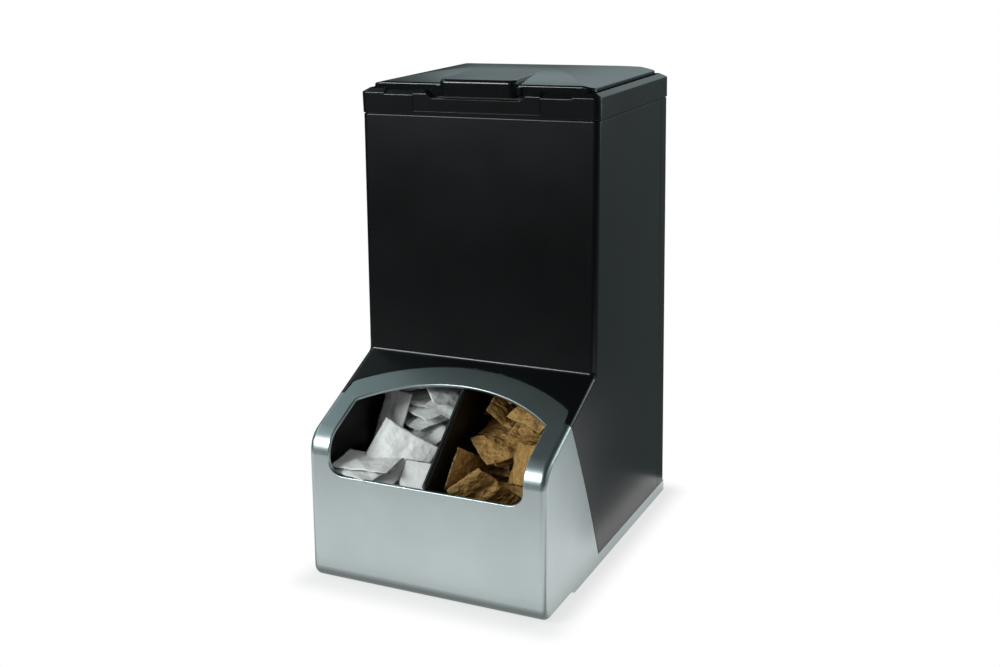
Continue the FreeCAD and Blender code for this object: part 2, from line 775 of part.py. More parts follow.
def lid_block(depth, bottom):
    """The lid's pillow form, set inwards by a depth."""
    front = lid_front_y + depth
    rear = lid_rear_y - depth
    half = lid_half - depth
    place = in_yz(-half)
    side = [
        Part.LineSegment(place((front, bottom)), place((rear, bottom))).toShape(),
        Part.LineSegment(place((rear, bottom)), place((rear, lid_crown(rear, depth)))).toShape(),
        Part.Arc(place((rear, lid_crown(rear, depth))), place((lid_crest_y, lid_crest_z - depth)),
                 place((front, lid_crown(front, depth)))).toShape(),
        Part.LineSegment(place((front, lid_crown(front, depth))), place((front, bottom))).toShape(),
    ]
    crown = Part.Face(Part.Wire(side)).extrude(vector(2 * half, 0, 0))
    radius = lid_shoulder_radius - depth
    top = lid_crest_z - depth
    place = in_xz(front - 5)

    def shoulder(x):
        return top - radius + math.sqrt(radius ** 2 - (x - spine_half) ** 2)

    middle_x = (spine_half + half) / 2
    high = [
        Part.LineSegment(place((-half, bottom)), place((half, bottom))).toShape(),
        Part.LineSegment(place((half, bottom)), place((half, shoulder(half)))).toShape(),
        Part.Arc(place((half, shoulder(half))), place((middle_x, shoulder(middle_x))),
                 place((spine_half, top))).toShape(),
        Part.LineSegment(place((spine_half, top)), place((-spine_half, top))).toShape(),
        Part.Arc(place((-spine_half, top)), place((-middle_x, shoulder(middle_x))),
                 place((-half, shoulder(half)))).toShape(),
        Part.LineSegment(place((-half, shoulder(half))), place((-half, bottom))).toShape(),
    ]
    across = Part.Face(Part.Wire(high)).extrude(vector(0, rear - front + 10, 0))
    corner = max(lid_corner - depth, 1.0)
    plan = prism_z(rectangle(half, front, rear), bottom - 1, top + 10,
                   {0: corner, 1: corner, 2: corner / 2, 3: corner / 2})
    return crown.common(across).common(plan)


def rounded_lid_block():
    """The lid's outer form with the edge between its crown and its sides rounded."""
    block = lid_block(0.0, lid_bottom)
    rim = []
    for edge in block.Edges:
        middle = edge.valueAt((edge.FirstParameter + edge.LastParameter) / 2)
        low = edge.BoundBox.ZMin > lid_bottom + lid_edge_round
        on_side = abs(middle.x) > lid_half - lid_corner or middle.y < lid_front_y + 0.01
        if low and on_side and middle.y < lid_rear_y - 0.5 * lid_corner:
            rim.append(edge)
    return block.makeFillet(lid_edge_round, rim)


def bumper_places():
    return [(lid_half - bumper_inset, y) for y in (lid_front_y + bumper_front, lid_rear_y - bumper_rear)]


def stop_heel_section():
    """The heel of a knuckle: its flat lands on the collar's rear edge when the lid is fully open."""
    turn = math.radians(opening_limit - 90)
    out = (math.cos(turn), math.sin(turn))
    across = (-out[1], out[0])
    reach = hinge_z - rear_edge_z - stop_gap
    corners = [(0.0, 0.0), (reach, 0.0), (reach, stop_heel), (0.0, stop_heel)]
    return [(hinge_y + a * out[0] + b * across[0], hinge_z + a * out[1] + b * across[1])
            for a, b in corners]


def make_spine():
    """The raised band along the lid's middle, which ends in the pull tab."""
    front = lid_front_y - tab_reach
    spine_end = lid_front_y + spine_run
    front_top = body_top + spine_front_rise
    tab_low = body_top + tab_bottom_rise
    section = [(front, tab_low), (lid_front_y + 2, tab_low), (lid_front_y + 2, lid_crown(lid_front_y) - 4),
               (spine_end, lid_crown(spine_end) - 4), (spine_end, lid_crown(spine_end)),
               (front, front_top)]
    plan = prism_z(rectangle(spine_half, front, spine_end + 1), tab_low - 1, lid_crest_z + 1,
                   {0: tab_end_round, 1: tab_end_round})
    spine = prism_x(section, -spine_half, spine_half).common(plan)
    rim = []
    for edge in spine.Edges:
        middle = edge.valueAt((edge.FirstParameter + edge.LastParameter) / 2)
        if middle.z > front_top - 0.01 and middle.y < spine_end - 1:
            rim.append(edge)
    spine = spine.makeFillet(tab_top_round, rim)
    step = prism_z(rectangle(spine_half + tab_step, lid_front_y - tab_step_reach, lid_front_y + 2),
                   tab_low + tab_step_drop, lid_crown(lid_front_y) - tab_step_drop,
                   {0: tab_step_reach - 0.1, 1: tab_step_reach - 0.1})
    return spine.fuse(step)


def make_lid():
    inner = lid_block(lid_wall, lid_bottom - 5)
    lid = fuse([rounded_lid_block().cut(inner), make_spine().cut(inner)])
    bosses = []
    for x, y in bumper_places():
        boss = cylinder(bumper_radius + 0.5, vector(x, y, lid_bottom), vector(0, 0, 1), 30)
        bosses += both_sides(boss.common(lid_block(0.5, lid_bottom)))
    knuckles = []
    for side in (-1, 1):
        x = side * hinge_x - knuckle_length / 2
        knuckles.append(cylinder(barrel_radius, vector(x, hinge_y, hinge_z), vector(1, 0, 0),
                                 knuckle_length))
        knuckles.append(box(x, x + knuckle_length, lid_rear_y - lid_wall, hinge_y,
                            hinge_z - 4.0, hinge_z + 4.0))
        knuckles.append(prism_x(stop_heel_section(), x, x + knuckle_length))
    lid = fuse([lid] + bosses + knuckles)
    holes = []
    for side in (-1, 1):
        x = side * hinge_x - knuckle_length
        holes.append(cylinder(pin_radius + pin_running_gap, vector(x, hinge_y, hinge_z),
                              vector(1, 0, 0), 2 * knuckle_length))
    return cut(lid, holes)


def make_hinge_pin(side):
    length = knuckle_length + 2 * ear_side_gap + 2 * ear_thickness
    x = side * hinge_x - length / 2
    return cylinder(pin_radius, vector(x, hinge_y, hinge_z), vector(1, 0, 0), length)


def make_lid_bumpers():
    pads = []
    for x, y in bumper_places():
        pads += both_sides(cylinder(bumper_radius, vector(x, y, ledge_top), vector(0, 0, 1),
                                    bumper_height))
    return Part.makeCompound(pads)


def ramp_line():
    """Foot and head of the ramp's upper face, with its rise for each millimetre back."""
    foot = (front_y + ramp_foot_back, trough_floor + trough_wall + ramp_thickness)
    head = (rear_y - wall - 0.1 - ramp_thickness, ramp_top)
    return foot, head, (head[1] - foot[1]) / (head[0] - foot[0])


def make_ramp():
    foot, head, rise = ramp_line()
    drop = ramp_thickness * math.sqrt(1 + rise ** 2)
    toe = foot[0] - ramp_toe
    low = foot[1] - ramp_thickness
    back = rear_y - wall - 0.1
    section = [(toe, low), (foot[0] + (drop - ramp_thickness) / rise, low),
               (back, head[1] + rise * (back - head[0]) - drop), (back, ramp_top + ramp_lip),
               (head[0], ramp_top + ramp_lip), head, foot, (toe, foot[1])]
    narrow = trough_half - trough_wall - 0.4
    wide = inner_half - ramp_side_gap
    wide_part = prism_x(section, -wide, wide)
    wide_part = wide_part.cut(box(-wide - 1, wide + 1, front_y, front_y + trough_back + 2, 0, body_top))
    ramp = fuse([prism_x(section, -narrow, narrow), wide_part])
    holes = []
    for place, along in ramp_screw_places():
        holes += both_sides(cylinder(screw_clearance_hole, place - along * 10, along, 20))
    holes += both_sides(cylinder(screw_clearance_hole, vector(post_x, trough_screw_y(), low - 5),
                                 vector(0, 0, 1), 20))
    return cut(ramp, holes)


def ramp_screw_places():
    """Points on the ramp's upper face over the brackets, and the direction square to it."""
    foot, head, rise = ramp_line()
    length = math.sqrt(1 + rise ** 2)
    along = vector(0, -rise / length, 1 / length)
    x = inner_half - bracket_flange + 4.0
    ys = (front_y + 170.0, front_y + 255.0)
    return [(vector(x, y, foot[1] + rise * (y - foot[0])), along) for y in ys]


def make_ramp_bracket():
    foot, head, rise = ramp_line()
    drop = ramp_thickness * math.sqrt(1 + rise ** 2)
    thick = bracket_thickness * math.sqrt(1 + rise ** 2)
    leg = bracket_leg * math.sqrt(1 + rise ** 2)
    low_y = front_y + trough_back + 8
    high_y = rear_y - wall - rear_boss_length - 4

    def under(y, depth):
        return (y, foot[1] + rise * (y - foot[0]) - drop - depth)

    flange = prism_x([under(low_y, 0), under(high_y, 0), under(high_y, thick), under(low_y, thick)],
                     inner_half - bracket_flange, inner_half)
    side = prism_x([under(low_y, 0), under(high_y, 0), under(high_y, leg), under(low_y, leg)],
                   inner_half - bracket_thickness, inner_half)
    bracket = fuse([flange, side])
    holes = [cylinder(screw_hole, place - along * 15, along, 20) for place, along in ramp_screw_places()]
    return cut(bracket, holes)


def trough_region(depth):
    """Side view of the trough set inwards by a depth, open at the back."""
    behind = wall + trough_gap + depth
    under = wall + lap_thickness + trough_gap + depth
    floor = trough_floor + depth
    back = front_y + trough_back
    high = back - trough_top_back
    return [(front_face(floor, behind), floor), (back + depth * 20, floor), (back + depth * 20, 120.0),
            (high, slope_height(high, under)), inner_knee(behind, under)]


def make_trough():
    outer_points = trough_region(0.0)
    outer = prism_x(outer_points, -trough_half, trough_half, {0: 6.0, 4: knee_radius - wall - trough_gap})
    inner_half_width = trough_half - trough_wall
    inner_points = trough_region(trough_wall)
    back = front_y + trough_back + 40
    inner = prism_x([inner_points[0], (back, inner_points[0][1]), (back, 300.0),
                     (inner_points[0][0] + lean * 250, 300.0)],
                    -inner_half_width, inner_half_width, {0: trough_corner})
    lip = window_bottom - trough_lip_drop
    mouth = box(-inner_half_width, inner_half_width, front_y - 5, front_y + 60, lip, 300.0)
    trough = cut(outer, [inner, mouth])
    ramp_foot, ramp_head, rise = ramp_line()
    behind = prism_x([(ramp_foot[0], 0.0), (ramp_foot[0], trough_floor - 1), (ramp_foot[0] + 0.1, ramp_foot[1]),
                      (ramp_foot[0] + 100, ramp_foot[1] + 100 * rise), (ramp_foot[0] + 100, 0.0)],
                     -half_width, half_width)
    trough = trough.cut(behind.common(box(-inner_half_width, inner_half_width, -200, 200, 0, 200)))
    holes = []
    for y in (front_y + post_front_back, trough_screw_y()):
        holes += both_sides(cylinder(screw_clearance_hole, vector(post_x, y, trough_floor - 5),
                                     vector(0, 0, 1), 10))
    return cut(trough, holes)


def make_divider():
    foot, head, rise = ramp_line()
    gap = seat_gap
    skirt_back = column_front_y + wall + skirt_thickness
    column_depth_in = (skirt_back - column_face(body_top - collar_skirt)) + gap
    rear_edge = rear_y - wall - skirt_thickness - gap
    in_trough = wall + trough_gap + trough_wall + gap
    start = (front_face(window_bottom, wall) + divider_bead - bead_clearance, window_bottom + 2.0)
    end = slope_point(window_arch_rise + 1.0, wall + divider_bead + bead_clearance)
    under_arch = slope_point(arch_rise - lap - 3.0, wall + lap_thickness + 1.0)
    under_crease = slope_point(arch_rise + lap_root + 1.0, wall + lap_thickness + 1.6)
    low_crease = crease_height + 4
    lip_y = rear_y - wall - 0.1 - ramp_thickness - gap
    toe_y = foot[0] - ramp_toe - 0.6
    floor = trough_floor + trough_wall + gap
    lip = window_bottom - trough_lip_drop
    points = [
        (front_face(floor, in_trough), floor),
        (toe_y, floor),
        (toe_y, foot[1] + gap),
        (foot[0], foot[1] + gap),
        (lip_y, foot[1] + gap * 1.3 + rise * (lip_y - foot[0])),
        (lip_y, ramp_top + ramp_lip + 4),
        (rear_edge, ramp_top + ramp_lip + 4),
        (rear_edge, divider_top),
        (column_face(divider_top) + column_depth_in, divider_top),
        (column_face(low_crease) + column_depth_in, low_crease),
        under_crease,
        under_arch,
        end,
        start,
        (front_face(lip, in_trough), lip),
    ]
    half = divider_thickness / 2
    plate = prism_x(points, -half, half, {0: trough_corner, 8: 6.0})
    along = vector(0, end[0] - start[0], end[1] - start[1])
    bead = cylinder(divider_bead, vector(0, start[0], start[1]), along, along.Length)
    ball = Part.makeSphere(divider_bead, vector(0, start[0], start[1]))
    return fuse([plate, bead, ball])


def guide_section():
    """Plan of a guide channel against a wall at y = 0, opening towards +Y."""
    slot = divider_thickness / 2 + guide_slot_gap
    out = slot + guide_leg
    return [(-out, 0.0), (out, 0.0), (out, guide_depth), (slot, guide_depth), (slot, guide_base),
            (-slot, guide_base), (-slot, guide_depth), (-out, guide_depth)]


def make_divider_guide_front():
    low = crease_height + 6
    height = guide_top - low
    channel = prism_z(guide_section(), 0.0, height)
    matrix = FreeCAD.Matrix()
    matrix.A23 = lean
    channel = channel.transformGeometry(matrix)
    channel.translate(vector(0, column_face(low, wall), low))
    return channel


def make_divider_guide_rear():
    low = ramp_top + ramp_lip + 1.0
    channel = prism_z([(x, -y) for x, y in guide_section()], low, guide_top)
    channel.translate(vector(0, rear_y - wall, 0))
    return channel


def foot_places():
    return [vector(side * foot_x, y, 0) for y in foot_ys for side in (-1, 1)]


def make_rubber_feet():
    feet = []
    for place in foot_places():
        pad = cylinder(foot_radius, place, vector(0, 0, 1), pan_bottom)
        edges = [edge for edge in pad.Edges if edge.BoundBox.ZMax < 0.01]
        pad = pad.makeFillet(1.0, edges)
        recess = cylinder(foot_recess, place, vector(0, 0, 1), foot_recess_depth)
        bore = cylinder(screw_clearance_hole, place, vector(0, 0, 1), pan_bottom + 1)
        feet.append(cut(pad, [recess, bore]))
    return Part.makeCompound(feet)


def screw(head_seat, along, length, scale=1.0):
    """A pan-head screw: its head stands off its seat against the given direction."""
    height = screw_head_height * scale
    head = cylinder(screw_head * scale, head_seat - along * height, along, height)
    rim = [edge for edge in head.Edges if edge.Length > 3 * screw_head * scale
           and abs((edge.CenterOfMass - head_seat).dot(along)) > height / 2]
    head = head.makeFillet(height * 0.4, rim[:1])
    shank = cylinder(screw_shank * scale, head_seat, along, length)
    recess = cylinder(screw_drive * scale, head_seat - along * height, along, height * 0.6)
    return head.fuse(shank).cut(recess)


def make_foot_screws():
    up = vector(0, 0, 1)
    return Part.makeCompound([screw(place + up * foot_recess_depth, up, 11.0) for place in foot_places()])


def make_base_screws():
    up = vector(0, 0, 1)
    screws = []
    for y in base_boss_ys:
        screws += both_sides(screw(vector(base_boss_x, y, pan_bottom), up, 16.0))
    screws += both_sides(screw(vector(toe_screw_x, front_y + toe_screw_back, toe_z), up, 10.0))
    return Part.makeCompound(screws)


def make_rear_cover_screws():
    screws = []
    for z in rear_screw_heights:
        place = vector(half_width - boss_inset, rear_y - screw_head_height, z)
        screws += both_sides(screw(place, vector(0, -1, 0), 16.0))
    return Part.makeCompound(screws)


def make_collar_screws():
    screws = []
    for y in collar_screw_ys:
        screws += both_sides(screw(vector(collar_screw_x(), y, ledge_top), vector(0, 0, -1), 14.0))
    return Part.makeCompound(screws)


def make_plate_screws():
    place = vector(plate_screw_x, collar_front_y + collar_wall + backing_wall, plate_screw_z())
    return Part.makeCompound(both_sides(screw(place, vector(0, -1, 0), 5.6, plate_screw_scale)))


def make_trough_screws():
    down = vector(0, 0, -1)
    floor = trough_floor + trough_wall
    screws = both_sides(screw(vector(post_x, front_y + post_front_back, floor), down, 12.0))
    screws += both_sides(screw(vector(post_x, trough_screw_y(), floor + ramp_thickness), down, 14.0))
    return Part.makeCompound(screws)


def make_ramp_screws():
    screws = []
    for place, along in ramp_screw_places():
        screws += both_sides(screw(place, along * -1, ramp_thickness + bracket_thickness + 1.0))
    return Part.makeCompound(screws)


def mirrored(shape):
    return shape.mirror(vector(0, 0, 0), vector(1, 0, 0))


parts = {
    "housing": make_housing,
    "rear_cover": make_rear_cover,
    "fascia": make_fascia,
    "base_pan": make_base_pan,
    "collar": make_collar,
    "collar_front_plate": make_collar_plate,
    "lid": make_lid,
    "hinge_pin_left": lambda: make_hinge_pin(-1),
    "hinge_pin_right": lambda: make_hinge_pin(1),
    "lid_bumpers": make_lid_bumpers,
    "divider": make_divider,
    "divider_guide_front": make_divider_guide_front,
    "divider_guide_rear": make_divider_guide_rear,
    "chute_ramp": make_ramp,
    "ramp_bracket_left": lambda: mirrored(make_ramp_bracket()),
    "ramp_bracket_right": make_ramp_bracket,
    "trough": make_trough,
    "rubber_feet": make_rubber_feet,
    "foot_screws": make_foot_screws,
    "base_screws": make_base_screws,
    "rear_cover_screws": make_rear_cover_screws,
    "collar_screws": make_collar_screws,
    "plate_screws": make_plate_screws,
    "trough_screws": make_trough_screws,
    "ramp_screws": make_ramp_screws,
}

os.makedirs("parts", exist_ok=True)
for name, make in parts.items():
    shape = make()
    solids = shape.Solids
    print(name, len(solids), "solid(s)", "valid" if shape.isValid() else "NOT VALID",
          round(sum(s.Volume for s in solids) / 1000, 1), "cm3")
    shape.exportStep("parts/" + name + ".step")
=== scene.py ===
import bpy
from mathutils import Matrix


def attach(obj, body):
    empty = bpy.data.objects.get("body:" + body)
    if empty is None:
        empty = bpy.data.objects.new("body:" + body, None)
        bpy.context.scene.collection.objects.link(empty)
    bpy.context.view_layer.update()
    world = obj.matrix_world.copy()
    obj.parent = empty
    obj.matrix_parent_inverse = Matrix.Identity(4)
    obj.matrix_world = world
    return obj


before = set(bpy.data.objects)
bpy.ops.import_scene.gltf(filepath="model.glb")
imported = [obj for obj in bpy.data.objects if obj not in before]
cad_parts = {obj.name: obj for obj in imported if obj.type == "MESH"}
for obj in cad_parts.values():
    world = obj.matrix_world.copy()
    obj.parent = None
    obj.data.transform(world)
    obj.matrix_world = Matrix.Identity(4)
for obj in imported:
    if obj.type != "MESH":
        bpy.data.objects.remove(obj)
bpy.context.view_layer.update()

import math
import random

import bmesh
import bpy
from mathutils import Matrix, Quaternion, Vector

MM = 0.001
scene = bpy.context.scene


# Colours and nodes

# Where most of a noise pattern's values lie. It is spread over a material's own range.
USUAL = {"From Min": 0.3, "From Max": 0.7}
# How finely the small edge radius of a moulding or a fastener is drawn.
EDGE_SAMPLES = 6


def linear(hex_colour):
    """An sRGB hex colour as linear red, green, blue and alpha."""
    values = [int(hex_colour[i:i + 2], 16) / 255 for i in (0, 2, 4)]
    return tuple(v / 12.92 if v <= 0.04045 else ((v + 0.055) / 1.055) ** 2.4
                 for v in values) + (1.0,)


def add(owner, kind, inputs=None, **settings):
    """Adds a node to a material or the world and returns it. The settings are its own properties.
    Its inputs, by name or number, take a value, an output, or a node, for its first output."""
    tree = owner.node_tree
    node = tree.nodes.new(kind)
    for name, value in settings.items():
        setattr(node, name, value)
    for name, value in (inputs or {}).items():
        if isinstance(name, str):
            socket = next(s for s in node.inputs if s.enabled and s.name == name)
        else:
            socket = node.inputs[name]
        if isinstance(value, bpy.types.Node):
            value = next(s for s in value.outputs if s.enabled)
        if isinstance(value, bpy.types.NodeSocket):
            tree.links.new(value, socket)
        else:
            socket.default_value = value
    return node


def new_material(name):
    """An empty material, and a place on its surface in millimetres, for patterns of a real size."""
    material = bpy.data.materials.new(name)
    material.use_nodes = True
    material.node_tree.nodes.clear()
    metres = add(material, "ShaderNodeTexCoord").outputs["Object"]
    place = add(material, "ShaderNodeVectorMath", {"Vector": metres, "Scale": 1 / MM},
                operation="SCALE")
    return material, place


# Materials. The widths, depths and radii in them are in millimetres.

def moulded_abs():
    # ABS, injection moulded in black against a spark-eroded tool. The eye sees a satin black with a
    # grain of about half a millimetre that softens reflections, and slightly uneven gloss.
    grain_width, grain_depth, flow_width, edge_radius = 0.5, 0.006, 70.0, 0.5
    material, place = new_material("black_abs_moulded_satin")
    grain = add(material, "ShaderNodeTexNoise",
                {"Vector": place, "Scale": 1 / grain_width, "Detail": 3.0})
    flow = add(material, "ShaderNodeTexNoise",
               {"Vector": place, "Scale": 1 / flow_width, "Detail": 2.0})
    shade = add(material, "ShaderNodeMapRange",
                {"Value": flow, **USUAL, "To Min": 0.0, "To Max": 1.0})
    colour = add(material, "ShaderNodeMix",
                 {"Factor": shade, "A": linear("090B0C"), "B": linear("0D1011")}, data_type="RGBA")
    gloss = add(material, "ShaderNodeMapRange",
                {"Value": flow, **USUAL, "To Min": 0.25, "To Max": 0.27})
    edges = add(material, "ShaderNodeBevel", {"Radius": edge_radius * MM}, samples=EDGE_SAMPLES)
    relief = add(material, "ShaderNodeBump",
                 {"Height": grain, "Normal": edges, "Distance": grain_depth * MM})
    shader = add(material, "ShaderNodeBsdfPrincipled",
                 {"Base Color": colour, "Roughness": gloss, "Normal": relief, "IOR": 1.50})
    add(material, "ShaderNodeOutputMaterial", {"Surface": shader})
    return material


def polished_abs():
    # ABS, injection moulded in black against a polished tool. The eye sees dark, fairly sharp
    # reflections with a faint waviness where the wall cooled unevenly, and fine wipe marks.
    sink_width, sink_depth, wipe_width, edge_radius = 28.0, 0.10, 1.6, 0.4
    material, place = new_material("black_abs_moulded_gloss")
    sink = add(material, "ShaderNodeTexNoise",
               {"Vector": place, "Scale": 1 / sink_width, "Detail": 1.0})
    wipes = add(material, "ShaderNodeTexNoise",
                {"Vector": place, "Scale": 1 / wipe_width, "Detail": 4.0})
    colour = add(material, "ShaderNodeMix",
                 {"Factor": sink, "A": linear("0C0D0E"), "B": linear("101213")}, data_type="RGBA")
    gloss = add(material, "ShaderNodeMapRange",
                {"Value": wipes, **USUAL, "To Min": 0.17, "To Max": 0.23})
    edges = add(material, "ShaderNodeBevel", {"Radius": edge_radius * MM}, samples=EDGE_SAMPLES)
    relief = add(material, "ShaderNodeBump",
                 {"Height": sink, "Normal": edges, "Distance": sink_depth * MM})
    shader = add(material, "ShaderNodeBsdfPrincipled",
                 {"Base Color": colour, "Roughness": gloss, "Normal": relief, "IOR": 1.54})
    add(material, "ShaderNodeOutputMaterial", {"Surface": shader})
    return material


def tray_styrene():
    # High-impact polystyrene, injection moulded in black and polished. It lines the inside, where
    # the eye sees soft mirror images of what lies in it, and scuffs from refilling.
    scuff_width, wave_width, wave_depth, edge_radius = 9.0, 20.0, 0.08, 0.4
    material, place = new_material("black_polystyrene_liner")
    scuffs = add(material, "ShaderNodeTexNoise",
                 {"Vector": place, "Scale": 1 / scuff_width, "Detail": 3.0})
    waves = add(material, "ShaderNodeTexNoise",
                {"Vector": place, "Scale": 1 / wave_width, "Detail": 1.0})
    colour = add(material, "ShaderNodeMix",
                 {"Factor": scuffs, "A": linear("0B0B0C"), "B": linear("111112")}, data_type="RGBA")
    gloss = add(material, "ShaderNodeMapRange",
                {"Value": scuffs, **USUAL, "To Min": 0.33, "To Max": 0.40})
    edges = add(material, "ShaderNodeBevel", {"Radius": edge_radius * MM}, samples=EDGE_SAMPLES)
    relief = add(material, "ShaderNodeBump",
                 {"Height": waves, "Normal": edges, "Distance": wave_depth * MM})
    shader = add(material, "ShaderNodeBsdfPrincipled",
                 {"Base Color": colour, "Roughness": gloss, "Normal": relief, "IOR": 1.59})
    add(material, "ShaderNodeOutputMaterial", {"Surface": shader})
    return material


def silver_lacquer():
    # ABS sprayed with a silver lacquer of fine aluminium flake under a satin clear coat. The eye
    # sees a cool grey metal that spreads reflections widely, with a sparkle of about half a
    # millimetre, drawn coarser than the real flake so that it shows.
    flake_width, cloud_width, grain_width, grain_depth, edge_radius = 0.45, 55.0, 0.9, 0.010, 0.5
    material, place = new_material("silver_flake_lacquer_on_abs")
    flakes = add(material, "ShaderNodeTexVoronoi", {"Vector": place, "Scale": 1 / flake_width})
    clouds = add(material, "ShaderNodeTexNoise",
                 {"Vector": place, "Scale": 1 / cloud_width, "Detail": 2.0})
    grain = add(material, "ShaderNodeTexNoise",
                {"Vector": place, "Scale": 1 / grain_width, "Detail": 2.0})
    shade = add(material, "ShaderNodeMapRange",
                {"Value": clouds, **USUAL, "To Min": 0.2, "To Max": 0.8})
    colour = add(material, "ShaderNodeMix",
                 {"Factor": shade, "A": linear("B6C1C1"), "B": linear("C1CCCC")}, data_type="RGBA")
    gloss = add(material, "ShaderNodeMapRange",
                {"Value": flakes, **USUAL, "To Min": 0.30, "To Max": 0.40})
    edges = add(material, "ShaderNodeBevel", {"Radius": edge_radius * MM}, samples=EDGE_SAMPLES)
    relief = add(material, "ShaderNodeBump",
                 {"Height": grain, "Normal": edges, "Distance": grain_depth * MM})
    shader = add(material, "ShaderNodeBsdfPrincipled",
                 {"Base Color": colour, "Roughness": gloss, "Normal": relief, "Metallic": 1.0,
                  "Coat Weight": 0.2, "Coat Roughness": 0.22})
    add(material, "ShaderNodeOutputMaterial", {"Surface": shader})
    return material


def zinc_plated_steel():
    # Steel, cold headed and zinc plated. The eye sees a pale blue-grey metal with a soft gloss.
    crystal_width, edge_radius = 0.6, 0.15
    material, place = new_material("zinc_plated_steel")
    crystals = add(material, "ShaderNodeTexNoise",
                   {"Vector": place, "Scale": 1 / crystal_width, "Detail": 2.0})
    colour = add(material, "ShaderNodeMix",
                 {"Factor": crystals, "A": linear("A9ADB0"), "B": linear("C2C6C8")},
                 data_type="RGBA")
    gloss = add(material, "ShaderNodeMapRange",
                {"Value": crystals, **USUAL, "To Min": 0.26, "To Max": 0.38})
    edges = add(material, "ShaderNodeBevel", {"Radius": edge_radius * MM}, samples=EDGE_SAMPLES)
    shader = add(material, "ShaderNodeBsdfPrincipled",
                 {"Base Color": colour, "Roughness": gloss, "Normal": edges, "Metallic": 1.0})
    add(material, "ShaderNodeOutputMaterial", {"Surface": shader})
    return material


def moulded_rubber():
    # Nitrile rubber, compression moulded. The eye sees a dull black with a dusty bloom.
    bloom_width, bloom_depth, edge_radius = 2.0, 0.02, 0.3
    material, place = new_material("black_nitrile_rubber")
    bloom = add(material, "ShaderNodeTexNoise",
                {"Vector": place, "Scale": 1 / bloom_width, "Detail": 4.0})
    colour = add(material, "ShaderNodeMix",
                 {"Factor": bloom, "A": linear("161616"), "B": linear("222222")}, data_type="RGBA")
    gloss = add(material, "ShaderNodeMapRange",
                {"Value": bloom, **USUAL, "To Min": 0.72, "To Max": 0.88})
    edges = add(material, "ShaderNodeBevel", {"Radius": edge_radius * MM}, samples=EDGE_SAMPLES)
    relief = add(material, "ShaderNodeBump",
                 {"Height": bloom, "Normal": edges, "Distance": bloom_depth * MM})
    shader = add(material, "ShaderNodeBsdfPrincipled",
                 {"Base Color": colour, "Roughness": gloss, "Normal": relief, "IOR": 1.52})
    add(material, "ShaderNodeOutputMaterial", {"Surface": shader})
    return material


# A sachet's size in millimetres: over all, the crimp at each end, the height of the filling and the
# paper's thickness. Its mesh has this many faces across and along on each side.
SACHET_WIDTH = 41.0
SACHET_LENGTH = 60.0
SACHET_CRIMP = 5.0
SACHET_FILL = 5.0
SACHET_PAPER = 0.12
SACHET_COLUMNS = 20
SACHET_ROWS = 28


def sachet_paper(name, pale, deep, crinkle_depth, roughness):
    # Machine-glazed packet paper, folded round its filling and crimped at both ends. The eye sees
    # sharp little facets where it has been crushed, the crimp's fine ribs about a millimetre apart,
    # and a faint fibre mottle.
    fibre_width, facet_width, fine_facet_width = 0.8, 8.0, 3.5
    rib_spacing, rib_depth, unevenness = 1.1, 0.12, 0.06
    material, place = new_material(name)
    fibres = add(material, "ShaderNodeTexNoise",
                 {"Vector": place, "Scale": 1 / fibre_width, "Detail": 5.0})
    facets = add(material, "ShaderNodeTexVoronoi",
                 {"Vector": place, "Scale": 1 / facet_width, "Smoothness": 0.25},
                 feature="SMOOTH_F1")
    fine_facets = add(material, "ShaderNodeTexVoronoi",
                      {"Vector": place, "Scale": 1 / fine_facet_width})
    packet = add(material, "ShaderNodeUVMap", uv_map="packet")
    along = add(material, "ShaderNodeSeparateXYZ", {"Vector": packet}).outputs["Y"]
    turns = add(material, "ShaderNodeMath", {0: along, 1: 2 * math.pi / rib_spacing},
                operation="MULTIPLY")
    ribs = add(material, "ShaderNodeMath", {0: turns}, operation="SINE")
    from_middle = add(material, "ShaderNodeMath", {0: along}, operation="ABSOLUTE")
    in_crimp = add(material, "ShaderNodeMath",
                   {0: from_middle, 1: SACHET_LENGTH / 2 - SACHET_CRIMP}, operation="GREATER_THAN")
    crimp = add(material, "ShaderNodeMath", {0: ribs, 1: in_crimp}, operation="MULTIPLY")
    relief = add(material, "ShaderNodeNewGeometry").outputs["Normal"]
    for height, depth in (
            (facets, crinkle_depth * 3), (fine_facets, crinkle_depth), (crimp, rib_depth)):
        relief = add(material, "ShaderNodeBump",
                     {"Height": height, "Normal": relief, "Distance": depth * MM})
    shade = add(material, "ShaderNodeMapRange",
                {"Value": fibres, **USUAL, "To Min": 0.0, "To Max": 1.0})
    colour = add(material, "ShaderNodeMix",
                 {"Factor": shade, "A": linear(deep), "B": linear(pale)}, data_type="RGBA")
    gloss = add(material, "ShaderNodeMapRange",
                {"Value": fibres, **USUAL, "To Min": roughness - unevenness,
                 "To Max": roughness + unevenness})
    shader = add(material, "ShaderNodeBsdfPrincipled",
                 {"Base Color": colour, "Roughness": gloss, "Normal": relief, "IOR": 1.5})
    add(material, "ShaderNodeOutputMaterial", {"Surface": shader})
    return material


# Sachets in the two compartments

# How a sachet is crushed: each pair is the least and the most, in millimetres. Dents and folds lie
# this far across and along it from its middle, reach this far to their sides, and are this high. A
# fold's height is also multiplied by the sachet's crumple, and so is the curl.
DENTS = 7
FOLDS = 9
CRUSHED_ACROSS = (-16, 16)
CRUSHED_ALONG = (-24, 24)
DENT_REACH = (5, 11)
DENT_HEIGHT = (-1.1, 0.9)
FOLD_REACH = (4, 13)
FOLD_HEIGHT = (-1.0, 1.0)
# The curl is a height per squared millimetre from the middle. The crimped ends bend at a slope of
# their own, which takes back a part of the curl.
CURL = (-0.0022, 0.0022)
END_BEND = (-0.10, 0.10)
CURL_UNDONE = 9
CRIMP_SLOPE = 3
